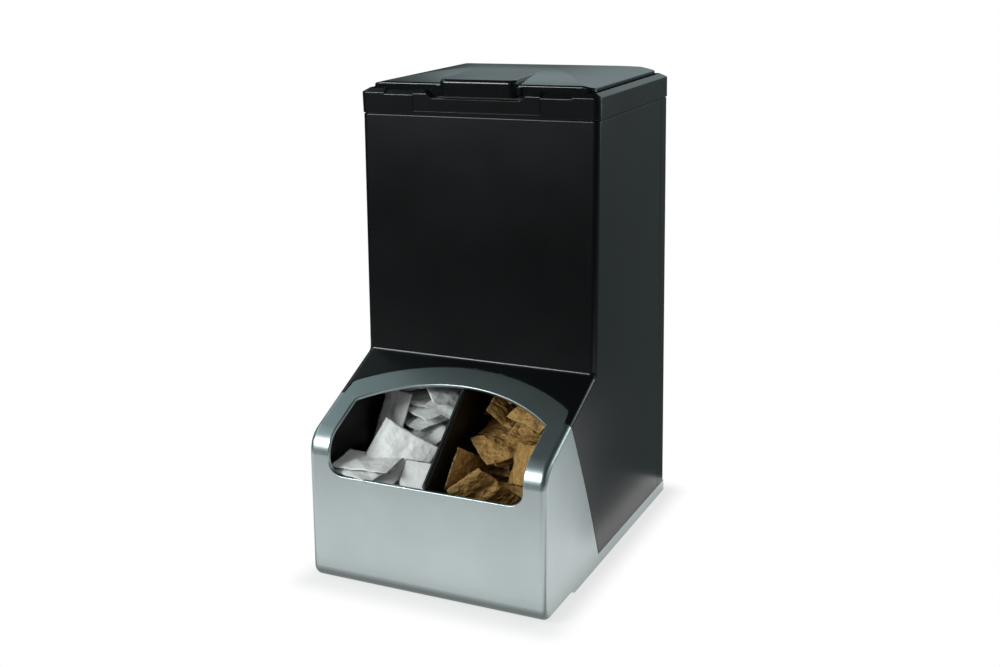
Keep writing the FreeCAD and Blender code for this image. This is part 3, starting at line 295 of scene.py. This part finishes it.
# The filling's form: how far it has slid to one end, how square it is along and across, how full
# its sides are, how much it draws the paper in, and the share of a dent that shows without it.
SLUMP = (-0.3, 0.3)
SQUARE_ALONG = 2.6
SQUARE_ACROSS = 2.4
SIDE_FULLNESS = 0.6
DRAWN_IN = 0.05
EMPTY_DENT = 0.25


def sachet_surface(crumple, chance):
    """The form of one sachet. It is a function that takes a side, upper 1 or lower -1, and a place
    across and along it, each from -1 to 1, and gives a point in millimetres."""
    slump = chance.uniform(*SLUMP)
    dents = [(chance.uniform(*CRUSHED_ACROSS), chance.uniform(*CRUSHED_ALONG),
              chance.uniform(*DENT_REACH), chance.uniform(*DENT_HEIGHT)) for _ in range(DENTS)]
    folds = [(chance.uniform(*CRUSHED_ACROSS), chance.uniform(0, math.pi),
              chance.uniform(*FOLD_REACH), crumple * chance.uniform(*FOLD_HEIGHT))
             for _ in range(FOLDS)]
    curl = crumple * chance.uniform(*CURL)
    end_bends = [chance.uniform(*END_BEND) - curl * CURL_UNDONE for _ in range(2)]
    crimp_start = SACHET_LENGTH / 2 - SACHET_CRIMP

    def point(side, across, along):
        x = across * SACHET_WIDTH / 2
        y = along * SACHET_LENGTH / 2
        filled = max(0.0, 1 - (abs(y) / crimp_start) ** SQUARE_ALONG)
        filled *= max(0.0, 1 - abs(across) ** SQUARE_ACROSS) ** SIDE_FULLNESS
        filled *= 1 + slump * along
        height = side * (SACHET_FILL / 2 * filled + SACHET_PAPER)
        for dent_x, dent_y, reach, depth in dents:
            squared = (x - dent_x) ** 2 + (y - dent_y) ** 2
            height += depth * math.exp(-squared / reach ** 2) * (EMPTY_DENT + filled)
        for offset, angle, reach, depth in folds:
            away = abs(x * math.cos(angle) + y * math.sin(angle) - offset)
            height += depth * max(0.0, 1 - away / reach)
        height += curl * y * y
        height += max(0.0, abs(y) - crimp_start) * end_bends[along > 0] * CRIMP_SLOPE
        narrowed = 1 - DRAWN_IN * max(0.0, 1 - (abs(y) / crimp_start) ** 2)
        return x * narrowed, y, height

    return point


def sachet_mesh(name, paper, crumple, chance):
    """A closed paper packet: a pillow of filling between two crimped ends, folded and crumpled. Its
    UV map holds the place on the flat packet in millimetres, from the middle."""
    point = sachet_surface(crumple, chance)
    shape = bmesh.new()
    flat = shape.loops.layers.uv.new("packet")
    points = {}
    for side in (1, -1):
        for j in range(SACHET_ROWS + 1):
            for i in range(SACHET_COLUMNS + 1):
                across = i / SACHET_COLUMNS * 2 - 1
                along = j / SACHET_ROWS * 2 - 1
                if side == -1 and (abs(across) == 1 or abs(along) == 1):
                    points[side, i, j] = points[1, i, j]
                else:
                    points[side, i, j] = shape.verts.new(point(side, across, along))
    for side in (1, -1):
        for j in range(SACHET_ROWS):
            for i in range(SACHET_COLUMNS):
                # Listed backwards on the lower side, which makes its faces look down.
                corners = [(i, j), (i + 1, j), (i + 1, j + 1), (i, j + 1)][::side]
                face = shape.faces.new([points[side, a, b] for a, b in corners])
                face.smooth = True
                for loop, (a, b) in zip(face.loops, corners):
                    loop[flat].uv = ((a / SACHET_COLUMNS - 0.5) * SACHET_WIDTH,
                                     (b / SACHET_ROWS - 0.5) * SACHET_LENGTH)
    shape.transform(Matrix.Scale(MM, 4))
    mesh = bpy.data.meshes.new(name)
    shape.to_mesh(mesh)
    shape.free()
    mesh.materials.append(paper)
    return mesh


def fill_compartment(name, paper, crumple, heap, chance):
    for number, (x, y, z, *turn) in enumerate(heap, 1):
        piece = "%s_%02d" % (name, number)
        mesh = sachet_mesh(piece, paper, crumple, chance)
        turned = Quaternion(turn).normalized().to_matrix().to_4x4()
        mesh.transform(Matrix.Translation(Vector((x, y, z)) * MM) @ turned)
        sachet = bpy.data.objects.new(piece, mesh)
        scene.collection.objects.link(sachet)
        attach(sachet, "dispenser")


# Where each sachet has come to rest after tumbling in: its middle in millimetres, and its turn as a
# quaternion.
LEFT_HEAP = [
    (-80.6, -122.4, 53, 1, 0, 0, -0.003), (-81.2, -122.5, 57.8, 1, 0, 0, 0),
    (-85.9, -122.4, 62.6, 1, 0, 0, 0), (-90.8, -122.6, 74.2, 0.994, 0.107, -0.014, -0.001),
    (-86.3, -122.6, 79.2, 0.994, 0.107, -0.014, 0), (-32.1, -122.5, 53, 1, 0, 0, -0.001),
    (-24.7, -122.2, 57.8, 1, 0, 0, 0.007), (-24.8, -122.5, 62.6, 1, 0, 0, 0),
    (-25.2, -122.5, 67.5, 1, 0, 0.001, 0), (-39.7, -71.9, 57.3, 0.703, 0.076, -0.076, 0.703),
    (-34.4, -34.7, 76, 0.675, 0.239, -0.233, 0.658), (-67, -67.6, 72.4, 0.523, 0.107, 0.06, -0.843),
    (-31.6, -34.4, 82.3, 0.667, 0.236, -0.236, 0.667),
    (-77.2, -71.7, 62.3, 0.709, 0.077, -0.076, 0.697),
    (-76.1, -72.7, 75.1, 0.93, 0.08, -0.093, 0.345),
    (-31.6, -71.9, 67.2, 0.703, 0.076, -0.076, 0.703),
    (-37.4, -44.6, 90.4, 0.906, 0.164, -0.069, 0.384),
    (-90.6, -78.2, 77.1, 0.003, -0.059, -0.107, 0.992),
    (-63.3, -46.6, 95.2, 0.182, 0.034, -0.169, 0.968),
    (-39.8, -63.6, 94.1, 0.758, 0.134, -0.108, 0.629),
    (-108.3, -18.6, 112.2, 0.301, -0.64, 0.168, -0.687),
    (-36.7, -118.3, 72.4, 0.579, -0.006, -0.005, 0.815),
    (-102.8, -27.7, 118.5, 0.439, -0.59, 0.3, -0.608), (-22.1, 7.9, 110.4, 0.943, 0.333, 0, 0),
    (-84.9, 48.2, 143, 0.682, 0.241, 0.23, -0.651), (-77.6, 4.3, 107.5, 0.28, 0.099, 0.318, -0.9),
    (-22.8, -6.7, 121, 0.011, 0.007, 0.118, -0.993),
    (-47.1, -61, 101.2, 0.193, 0.036, -0.139, 0.971),
    (-31.3, -36.4, 122, 0.705, 0.007, -0.195, 0.681),
    (-22.3, -76.7, 101.1, 0.002, 0.011, -0.144, 0.989),
    (-51.4, -45.5, 118.7, 0.764, 0.025, -0.194, 0.615),
    (-50.2, -56.7, 120.8, 0.876, 0.065, -0.184, 0.442),
    (-96.7, -27.6, 109, 0.67, 0.203, 0.63, 0.337), (-48, -36.9, 132.7, 0.304, -0.043, -0.048, 0.95),
    (-34.6, -31.8, 139.4, 0.761, -0.011, -0.063, 0.645),
    (-52.5, -39.9, 141.7, 0.868, 0.001, -0.064, 0.492),
    (-65.4, 8.2, 128.9, 0.34, -0.928, 0.143, 0.049),
    (-85.7, 80.1, 168.8, 0.682, 0.241, 0.23, -0.651),
    (-33, 54.6, 148.2, 0.943, 0.333, 0.001, -0.003),
    (-51.7, 34.2, 144, 0.563, 0.205, -0.271, 0.753),
    (-94.6, 119.1, 200.3, 0.943, 0.333, -0.008, 0.022),
    (-87.7, 67.1, 170.3, 0.134, 0.048, 0.323, -0.936),
    (-77.7, 46.4, 147.7, 0.575, 0.203, -0.264, 0.747),
    (-67.3, -27.5, 146.2, 0.795, -0.013, -0.05, 0.604),
    (-72, 58.3, 169.7, 0.944, 0.326, 0.015, -0.049),
    (-90.2, -23.9, 156.4, 0.991, -0.104, 0.031, 0.074),
    (-93.5, 26, 149.9, 0.044, 0.012, -0.343, 0.938), (-71.3, -40.7, 164, 0.093, 0.013, 0.108, 0.99),
    (-71.6, 0.7, 135.8, 0.491, 0.242, -0.228, 0.805),
    (-81.5, -28.4, 167.5, 0.064, -0.029, 0.113, 0.991),
    (-34.2, 77.8, 187.6, 0.552, -0.242, 0.029, -0.797),
    (-92.5, -15.5, 169, 0.991, -0.115, -0.014, 0.063),
    (-32.6, 12.9, 145, 0.698, 0.239, -0.012, 0.675), (-22.1, -127.9, 93.5, 0.916, 0.402, 0.001, 0),
    (-33.7, 9.5, 149.5, 0.721, 0.239, -0.004, 0.65),
    (-22.2, -42.4, 152.4, 0.004, -0.168, 0.068, -0.983),
    (-35.3, 4, 158.8, 0.921, 0.13, 0.131, 0.342), (-35.5, -41.5, 165, 0.892, 0.105, 0.181, 0.401),
    (-84.7, 8.4, 174.3, 0.229, -0.077, 0.024, 0.97),
    (-30.1, -4.3, 168.3, 0.711, 0.126, 0.211, 0.658),
    (-84.9, 65.1, 181, 0.24, -0.698, -0.637, -0.222),
    (-20.8, 4.1, 167.9, 0.969, -0.054, 0.24, -0.013),
    (-30.3, 56.2, 174, 0.688, -0.048, 0.289, -0.663),
    (-96, 16.7, 176.9, 0.07, -0.003, 0.997, -0.041), (-20.8, 8.5, 172.9, 0.013, 0.24, 0.054, 0.969),
    (-49.9, -102.3, 120.2, 0.484, -0.652, -0.549, -0.2),
    (-87.5, -54.9, 129.9, 0.119, 0.149, 0.823, 0.535),
    (-78, -127, 98.5, 0.748, -0.003, -0.001, 0.663), (-73, -124, 103.5, 0.652, 0.017, 0, 0.758),
    (-81, -129, 108.5, 0.796, 0.005, -0.02, 0.605), (-75, -123, 113.5, 0.689, 0.006, -0.022, 0.724),
]
RIGHT_HEAP = [
    (32.5, -117.7, 53, 0.988, 0, 0, -0.156), (40, -122.4, 58.8, 1, 0, -0.024, -0.002),
    (86.4, -120.4, 53, 0.998, 0, 0, -0.057), (90.7, -120.2, 57.8, 1, 0, 0, 0.004),
    (90.3, -122.5, 62.6, 1, 0, 0, 0), (85.6, -119.9, 67.4, 0.999, 0, 0, -0.035),
    (89.6, -122.2, 72.2, 1, 0, 0, 0.007), (80.3, 12.9, 114.5, 0.724, 0.256, -0.214, 0.604),
    (31.9, -59.8, 61.6, 0.689, 0.157, -0.157, 0.69),
    (75.7, -68.8, 62.3, 0.69, 0.149, 0.165, -0.689), (78.9, -29, 80.5, 0.78, 0.276, -0.187, 0.53),
    (47.8, -64.3, 70.5, 0.008, 0.013, -0.222, 0.975),
    (22.5, -56, 68.8, 0.975, 0.222, -0.001, 0.006), (38.7, -80.1, 76, 0.741, 0.189, -0.286, 0.578),
    (32.6, -19.9, 95.6, 0.679, 0.225, -0.211, 0.666),
    (88.6, -50.9, 108.9, 0.355, -0.916, -0.01, 0.185),
    (22.1, -32.5, 95.3, 0.961, 0.276, 0.01, 0.003),
    (91.3, -64.1, 87.4, 0.16, 0.062, -0.919, -0.355),
    (71.5, -49.7, 82, 0.328, 0.183, -0.171, 0.911), (81.9, -47.2, 86, 0.171, 0.152, -0.2, 0.953),
    (32.4, -45.9, 99.3, 0.682, 0.132, -0.079, 0.715),
    (75.5, 46.3, 141.4, 0.718, 0.254, -0.216, 0.611), (22.1, 8.3, 110.7, 0, 0, 0.333, -0.943),
    (79.6, -27.1, 105.8, 0.457, 0.112, -0.108, 0.876),
    (22.5, -34.5, 108.8, 0.002, -0.04, 0.151, -0.988), (41.8, -57.9, 118.6, 0.249, 0.122, 0, 0.961),
    (65.2, -25.2, 112.9, 0.625, 0.132, -0.083, 0.765),
    (33.6, 12.8, 120.6, 0.675, 0.239, -0.233, 0.659),
    (81.4, -4.5, 122.7, 0.563, 0.125, -0.094, 0.812), (22.1, 55, 148.4, 0.333, -0.943, 0, 0),
    (22.1, 7.1, 131.5, 0.004, 0.001, -0.988, -0.153), (76, -8.7, 127, 0.947, 0.156, 0.005, 0.281),
    (86.7, 23.8, 151.2, 0.07, 0.704, 0.704, 0.071),
    (37.2, 50.2, 161.2, 0.379, 0.026, 0.218, -0.899),
    (22.3, 1.7, 135.3, 0.003, -0.004, 0.146, -0.989),
    (40.1, -42.6, 129.2, 0.738, 0.151, -0.009, 0.657),
    (46.3, 52.4, 166.3, 0.802, 0.208, -0.07, 0.556),
    (83.2, -7.5, 139.4, 0.276, 0.07, -0.006, 0.959),
    (44.4, -69.2, 126.9, 0.337, 0.129, -0.08, 0.929),
    (90.3, -30.6, 142.1, 0.089, 0.068, -0.02, 0.994),
    (32.9, -15.9, 146.5, 0.726, -0.069, 0.002, 0.684),
    (80.2, -63.8, 147.8, 0.987, 0.016, 0.058, 0.148),
    (53.7, -9.9, 153.7, 0.209, -0.002, -0.044, -0.977),
    (77.7, -75.3, 152.8, 0.994, 0.013, 0.059, 0.092),
    (56.2, 4.4, 157.3, 0.712, -0.036, 0.025, 0.701),
    (83.7, -70.8, 156.9, 0.99, 0.015, 0.058, 0.131),
    (83.2, -40.9, 163.4, 0.223, 0.056, -0.012, 0.973),
    (80, -63.7, 169.7, 0.152, 0.038, -0.12, 0.98), (66.6, 13.3, 164.7, 0.017, -0.793, 0.609, 0.029),
    (55.9, 46.6, 167.8, 0.1, -0.665, 0.713, 0.196), (29.4, 23.5, 172.8, 0.106, -0.975, -0.1, -0.17),
    (37.5, -17.3, 171.8, 0.45, 0.028, -0.3, 0.841), (82.8, 17.9, 169.3, 0.779, 0.033, -0.01, 0.626),
    (73.9, 24.6, 174.8, 0.234, -0.005, 0.034, -0.972),
    (91.9, 1.2, 177.7, 0.073, -0.01, 0.032, -0.997),
    (20.4, 14.2, 188.4, 0.963, 0.029, -0.266, -0.008),
    (35.7, -10.1, 170, 0.6, 0.084, -0.289, 0.741), (37.5, -15.4, 178.9, 0.443, 0.026, -0.3, 0.844),
    (91.6, 84, 171.9, 0.076, 0.027, -0.332, 0.94),
    (23.1, 102.2, 186.6, 0.333, -0.943, -0.016, -0.006),
    (79.9, 50.4, 181.1, 0.756, 0.015, 0.03, -0.653),
    (82.6, 78.2, 173.4, 0.581, 0.206, 0.263, -0.742),
    (21.8, 39.8, 179.7, 0.98, 0.126, -0.156, -0.02),
    (50.1, -59.3, 149, -0.752, 0.205, -0.205, 0.592),
    (15.7, -96.6, 105.5, 0.732, -0.21, -0.633, 0.141),
    (41.9, -115.1, 96.6, 0.836, -0.433, -0.323, -0.091),
    (80.3, -104.9, 126.7, -0.119, 0.72, 0.41, 0.547),
]


satin = moulded_abs()
polished = polished_abs()
liner = tray_styrene()
silver = silver_lacquer()
steel = zinc_plated_steel()
rubber = moulded_rubber()

# The nodes that aren't named here are the screws and the hinge pins, which are steel.
finishes = {
    "housing": satin, "rear_cover": satin, "collar": satin, "collar_front_plate": satin,
    "base_pan": satin, "lid": polished, "fascia": silver, "trough": liner, "chute_ramp": liner,
    "divider": liner, "divider_guide_front": liner, "divider_guide_rear": liner,
    "ramp_bracket_left": liner, "ramp_bracket_right": liner, "rubber_feet": rubber,
    "lid_bumpers": rubber,
}
for node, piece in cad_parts.items():
    piece.data.materials.clear()
    piece.data.materials.append(finishes.get(node, steel))

SACHET_SEED = 5
chance = random.Random(SACHET_SEED)
white = sachet_paper("white_packet_paper", pale="F2F4F2", deep="E4E7E4", crinkle_depth=0.35,
                     roughness=0.48)
kraft = sachet_paper("brown_kraft_packet_paper", pale="D2AA66", deep="8C6330", crinkle_depth=0.95,
                     roughness=0.55)
fill_compartment("white_sachet", white, crumple=0.9, heap=LEFT_HEAP, chance=chance)
fill_compartment("kraft_sachet", kraft, crumple=1.8, heap=RIGHT_HEAP, chance=chance)


# Floor, surroundings, lamps and camera

# The paper sheet under the object, in metres. Its corner behind the object on the right is cut
# away.
SHEET = [(-0.70, -0.57), (0.80, -0.57), (0.80, -0.12), (0.36, 0.42), (0.153, 0.00), (0.153, 0.193),
         (-0.70, 0.193)]
# Half the object's width and depth in metres, and a height that the floor never reaches.
FOOTPRINT = (0.12, 0.16, 1.0)
TOE = -FOOTPRINT[1]
# The shadow reaches this far out from the footprint, in metres. Where it is deepest, these shares
# of the white are left: the first for the eye, over the real shadow, the second as a painted shade
# in mirror images.
SHADOW_REACH = 0.030
SHADOW_SHARE = 0.66
PAINTED_SIDE_SHADE_SHARE = 0.6
# In mirror images a painted shade, a darker strip of floor, runs from this far in front of the
# toe's edge to this far behind it, in metres, and this share of the white is left at the edge.
PAINTED_TOE_SHADE_REACH = 0.055
PAINTED_TOE_SHADE_DEPTH = 0.045
PAINTED_TOE_SHADE_SHARE = 0.28


def rays(owner):
    """Whether a ray comes from the camera, and whether metal or a clear piece has sent it on."""
    path = add(owner, "ShaderNodeLightPath").outputs
    mirrored = add(owner, "ShaderNodeMath",
                   {0: path["Is Glossy Ray"], 1: path["Is Transmission Ray"]}, operation="MAXIMUM")
    return path["Is Camera Ray"], mirrored


def make_floor():
    # A sheet of matt white paper. The eye, metal and clear pieces see it white, as the backdrop is.
    # Near the object the eye sees a part of the shadow. Metal mirrors a painted shade in the glow:
    # a dark strip at the toe and a dimmer band all round the footprint.
    material, place = new_material("white_background_paper")
    fibre_width = 40.0
    fibres = add(material, "ShaderNodeTexNoise",
                 {"Vector": place, "Scale": 1 / fibre_width, "Detail": 2.0})
    colour = add(material, "ShaderNodeMix",
                 {"Factor": fibres, "A": linear("F0F0F0"), "B": linear("F6F6F6")}, data_type="RGBA")
    paper = add(material, "ShaderNodeBsdfDiffuse", {"Color": colour})

    from_middle = add(material, "ShaderNodeVectorMath", {0: place}, operation="ABSOLUTE")
    past_edge = add(material, "ShaderNodeVectorMath",
                    {0: from_middle, 1: [v / MM for v in FOOTPRINT]}, operation="SUBTRACT")
    outside = add(material, "ShaderNodeVectorMath", {0: past_edge}, operation="MAXIMUM")
    away = add(material, "ShaderNodeVectorMath", {0: outside}, operation="LENGTH")
    back = add(material, "ShaderNodeSeparateXYZ", {"Vector": place}).outputs["Y"]
    # Painted shade for mirror images: the floor's glow is made dimmer at the toe and around the
    # footprint.
    shadow, painted_shade_before_toe, painted_shade_under_toe, painted_shade_next_to_object = (
        add(material, "ShaderNodeMapRange",
            {"Value": distance, "From Min": start / MM, "From Max": end / MM, "To Min": low,
             "To Max": high}, interpolation_type="SMOOTHSTEP")
        for distance, start, end, low, high in (
            (away, 0, SHADOW_REACH, SHADOW_SHARE, 1),
            (back, TOE - PAINTED_TOE_SHADE_REACH, TOE, 1, PAINTED_TOE_SHADE_SHARE),
            (back, TOE, TOE + PAINTED_TOE_SHADE_DEPTH, PAINTED_TOE_SHADE_SHARE, 1),
            (away, 0, SHADOW_REACH, PAINTED_SIDE_SHADE_SHARE, 1)))

    camera_ray, mirrored = rays(material)
    seen = add(material, "ShaderNodeMath", {0: camera_ray, 1: shadow}, operation="MULTIPLY")
    # Painted shade: the glow that metal mirrors is lowered near the object.
    painted_toe_shade = add(material, "ShaderNodeMath", {0: painted_shade_before_toe, 1: painted_shade_under_toe}, operation="MAXIMUM")
    painted_shade_level = add(material, "ShaderNodeMath", {0: painted_toe_shade, 1: painted_shade_next_to_object}, operation="MINIMUM")
    level = add(material, "ShaderNodeMix", {"Factor": mirrored, "A": 1.0, "B": painted_shade_level},
                data_type="FLOAT")
    glow = add(material, "ShaderNodeEmission", {"Strength": level, "Color": linear("FFFFFF")})
    glowing = add(material, "ShaderNodeMath", {0: seen, 1: mirrored}, operation="MAXIMUM")
    mixed = add(material, "ShaderNodeMixShader", {0: glowing, 1: paper, 2: glow})
    add(material, "ShaderNodeOutputMaterial", {"Surface": mixed})

    mesh = bpy.data.meshes.new("floor")
    mesh.from_pydata([(x, y, 0) for x, y in SHEET], [], [tuple(range(len(SHEET)))])
    mesh.materials.append(material)
    floor = bpy.data.objects.new("floor", mesh)
    scene.collection.objects.link(floor)


COOL_WHITE = "DCF1F4"
LAMP_WHITE = "F3FBFC"
ROOM_LEVEL = 0.4
# The bright places in the room that metal mirrors: the backdrop, a faint glow overhead and a patch
# up on the left. Each fades out along the direction looked in, once in every row: the axis, where
# the fade starts and ends, and the levels there.
BACKDROP = [
    ("Y", -0.55, 0.05, 0.04, 1.0),     # behind the object
    ("X", -0.50, -0.445, 0.20, 1.0),   # as far as its edge on the left
    ("Z", 0.34, 0.60, 1.0, 0.02),      # under the ceiling
    ("Z", 0.08, 0.36, 0.17, 1.0),      # above the table
]
OVERHEAD = [("Z", 0.93, 0.99, 0.0, 0.10)]
UPPER_LEFT = [("X", -0.585, -0.56, 2.0, 0.0), ("Z", 0.55, 0.75, 0.0, 1.0)]


def make_surroundings():
    """A studio room. A white backdrop stands behind the object above the table line. Metal and
    clear pieces mirror it, the eye sees white all round, and matt surfaces get one plain level."""
    world = bpy.data.worlds.new("studio")
    world.use_nodes = True
    world.node_tree.nodes.clear()
    scene.world = world
    towards = add(world, "ShaderNodeTexCoord").outputs["Generated"]
    axes = add(world, "ShaderNodeSeparateXYZ", {"Vector": towards}).outputs

    in_mirror = 0.0
    for bright_place in (BACKDROP, OVERHEAD, UPPER_LEFT):
        level = 1.0
        for axis, start, end, low, high in bright_place:
            graded = add(world, "ShaderNodeMapRange",
                         {"Value": axes[axis], "From Min": start, "From Max": end, "To Min": low,
                          "To Max": high}, interpolation_type="SMOOTHSTEP")
            level = add(world, "ShaderNodeMath", {0: level, 1: graded}, operation="MULTIPLY")
        in_mirror = add(world, "ShaderNodeMath", {0: in_mirror, 1: level}, operation="MAXIMUM")

    camera_ray, mirrored = rays(world)
    level = add(world, "ShaderNodeMix", {"Factor": mirrored, "A": ROOM_LEVEL, "B": in_mirror},
                data_type="FLOAT")
    level = add(world, "ShaderNodeMath", {0: level, 1: camera_ray}, operation="MAXIMUM")
    colour = add(world, "ShaderNodeMix",
                 {"Factor": mirrored, "A": linear("FFFFFF"), "B": linear(COOL_WHITE)},
                 data_type="RGBA")
    room = add(world, "ShaderNodeBackground", {"Strength": level, "Color": colour})
    add(world, "ShaderNodeOutputWorld", {"Surface": room})


def make_lamp(name, place, target, size, power):
    light = bpy.data.lights.new(name, "AREA")
    light.shape = "RECTANGLE"
    light.size, light.size_y = size
    light.energy = power
    light.color = linear(LAMP_WHITE)[:3]
    lamp = bpy.data.objects.new(name, light)
    lamp.location = place
    lamp.rotation_euler = (Vector(target) - Vector(place)).to_track_quat("-Z", "Y").to_euler()
    scene.collection.objects.link(lamp)


# The camera that was fitted to the object's straight edges, in metres and degrees. Its focal length
# is in pixels of the photograph, and the sensor's width in millimetres.
CAMERA_PLACE = (0.53627, -1.08732, 0.58072)
CAMERA_AZIMUTH = 25.986
CAMERA_ELEVATION = 16.937
CAMERA_ROLL = -1.6049
CAMERA_FOCUS = 1305.4
PHOTO_WIDTH = 1000
SENSOR_WIDTH = 36.0


def make_camera():
    azimuth, elevation, roll = (
        math.radians(v) for v in (CAMERA_AZIMUTH, CAMERA_ELEVATION, CAMERA_ROLL))
    back = Vector((math.sin(azimuth) * math.cos(elevation),
                   -math.cos(azimuth) * math.cos(elevation), math.sin(elevation)))
    right = Vector((math.cos(azimuth), math.sin(azimuth), 0))
    up = back.cross(right)
    turned_right = right * math.cos(roll) + up * math.sin(roll)
    turned_up = up * math.cos(roll) - right * math.sin(roll)
    data = bpy.data.cameras.new("camera")
    data.sensor_width = SENSOR_WIDTH
    data.sensor_fit = "HORIZONTAL"
    data.lens = CAMERA_FOCUS * SENSOR_WIDTH / PHOTO_WIDTH
    camera = bpy.data.objects.new("camera", data)
    columns = Matrix((turned_right, turned_up, back)).transposed().to_4x4()
    camera.matrix_world = Matrix.Translation(CAMERA_PLACE) @ columns
    scene.collection.objects.link(camera)
    scene.camera = camera


make_floor()
make_surroundings()
make_lamp("softbox_front_left", place=(-1.05, -1.75, 1.15), target=(0, 0, 0.2), size=(0.9, 0.5),
          power=28.0)
make_lamp("softbox_right", place=(1.25, 1.15, 0.55), target=(0.1, 0, 0.15), size=(0.5, 0.6),
          power=4.0)
make_camera()
scene.view_settings.view_transform = "Standard"
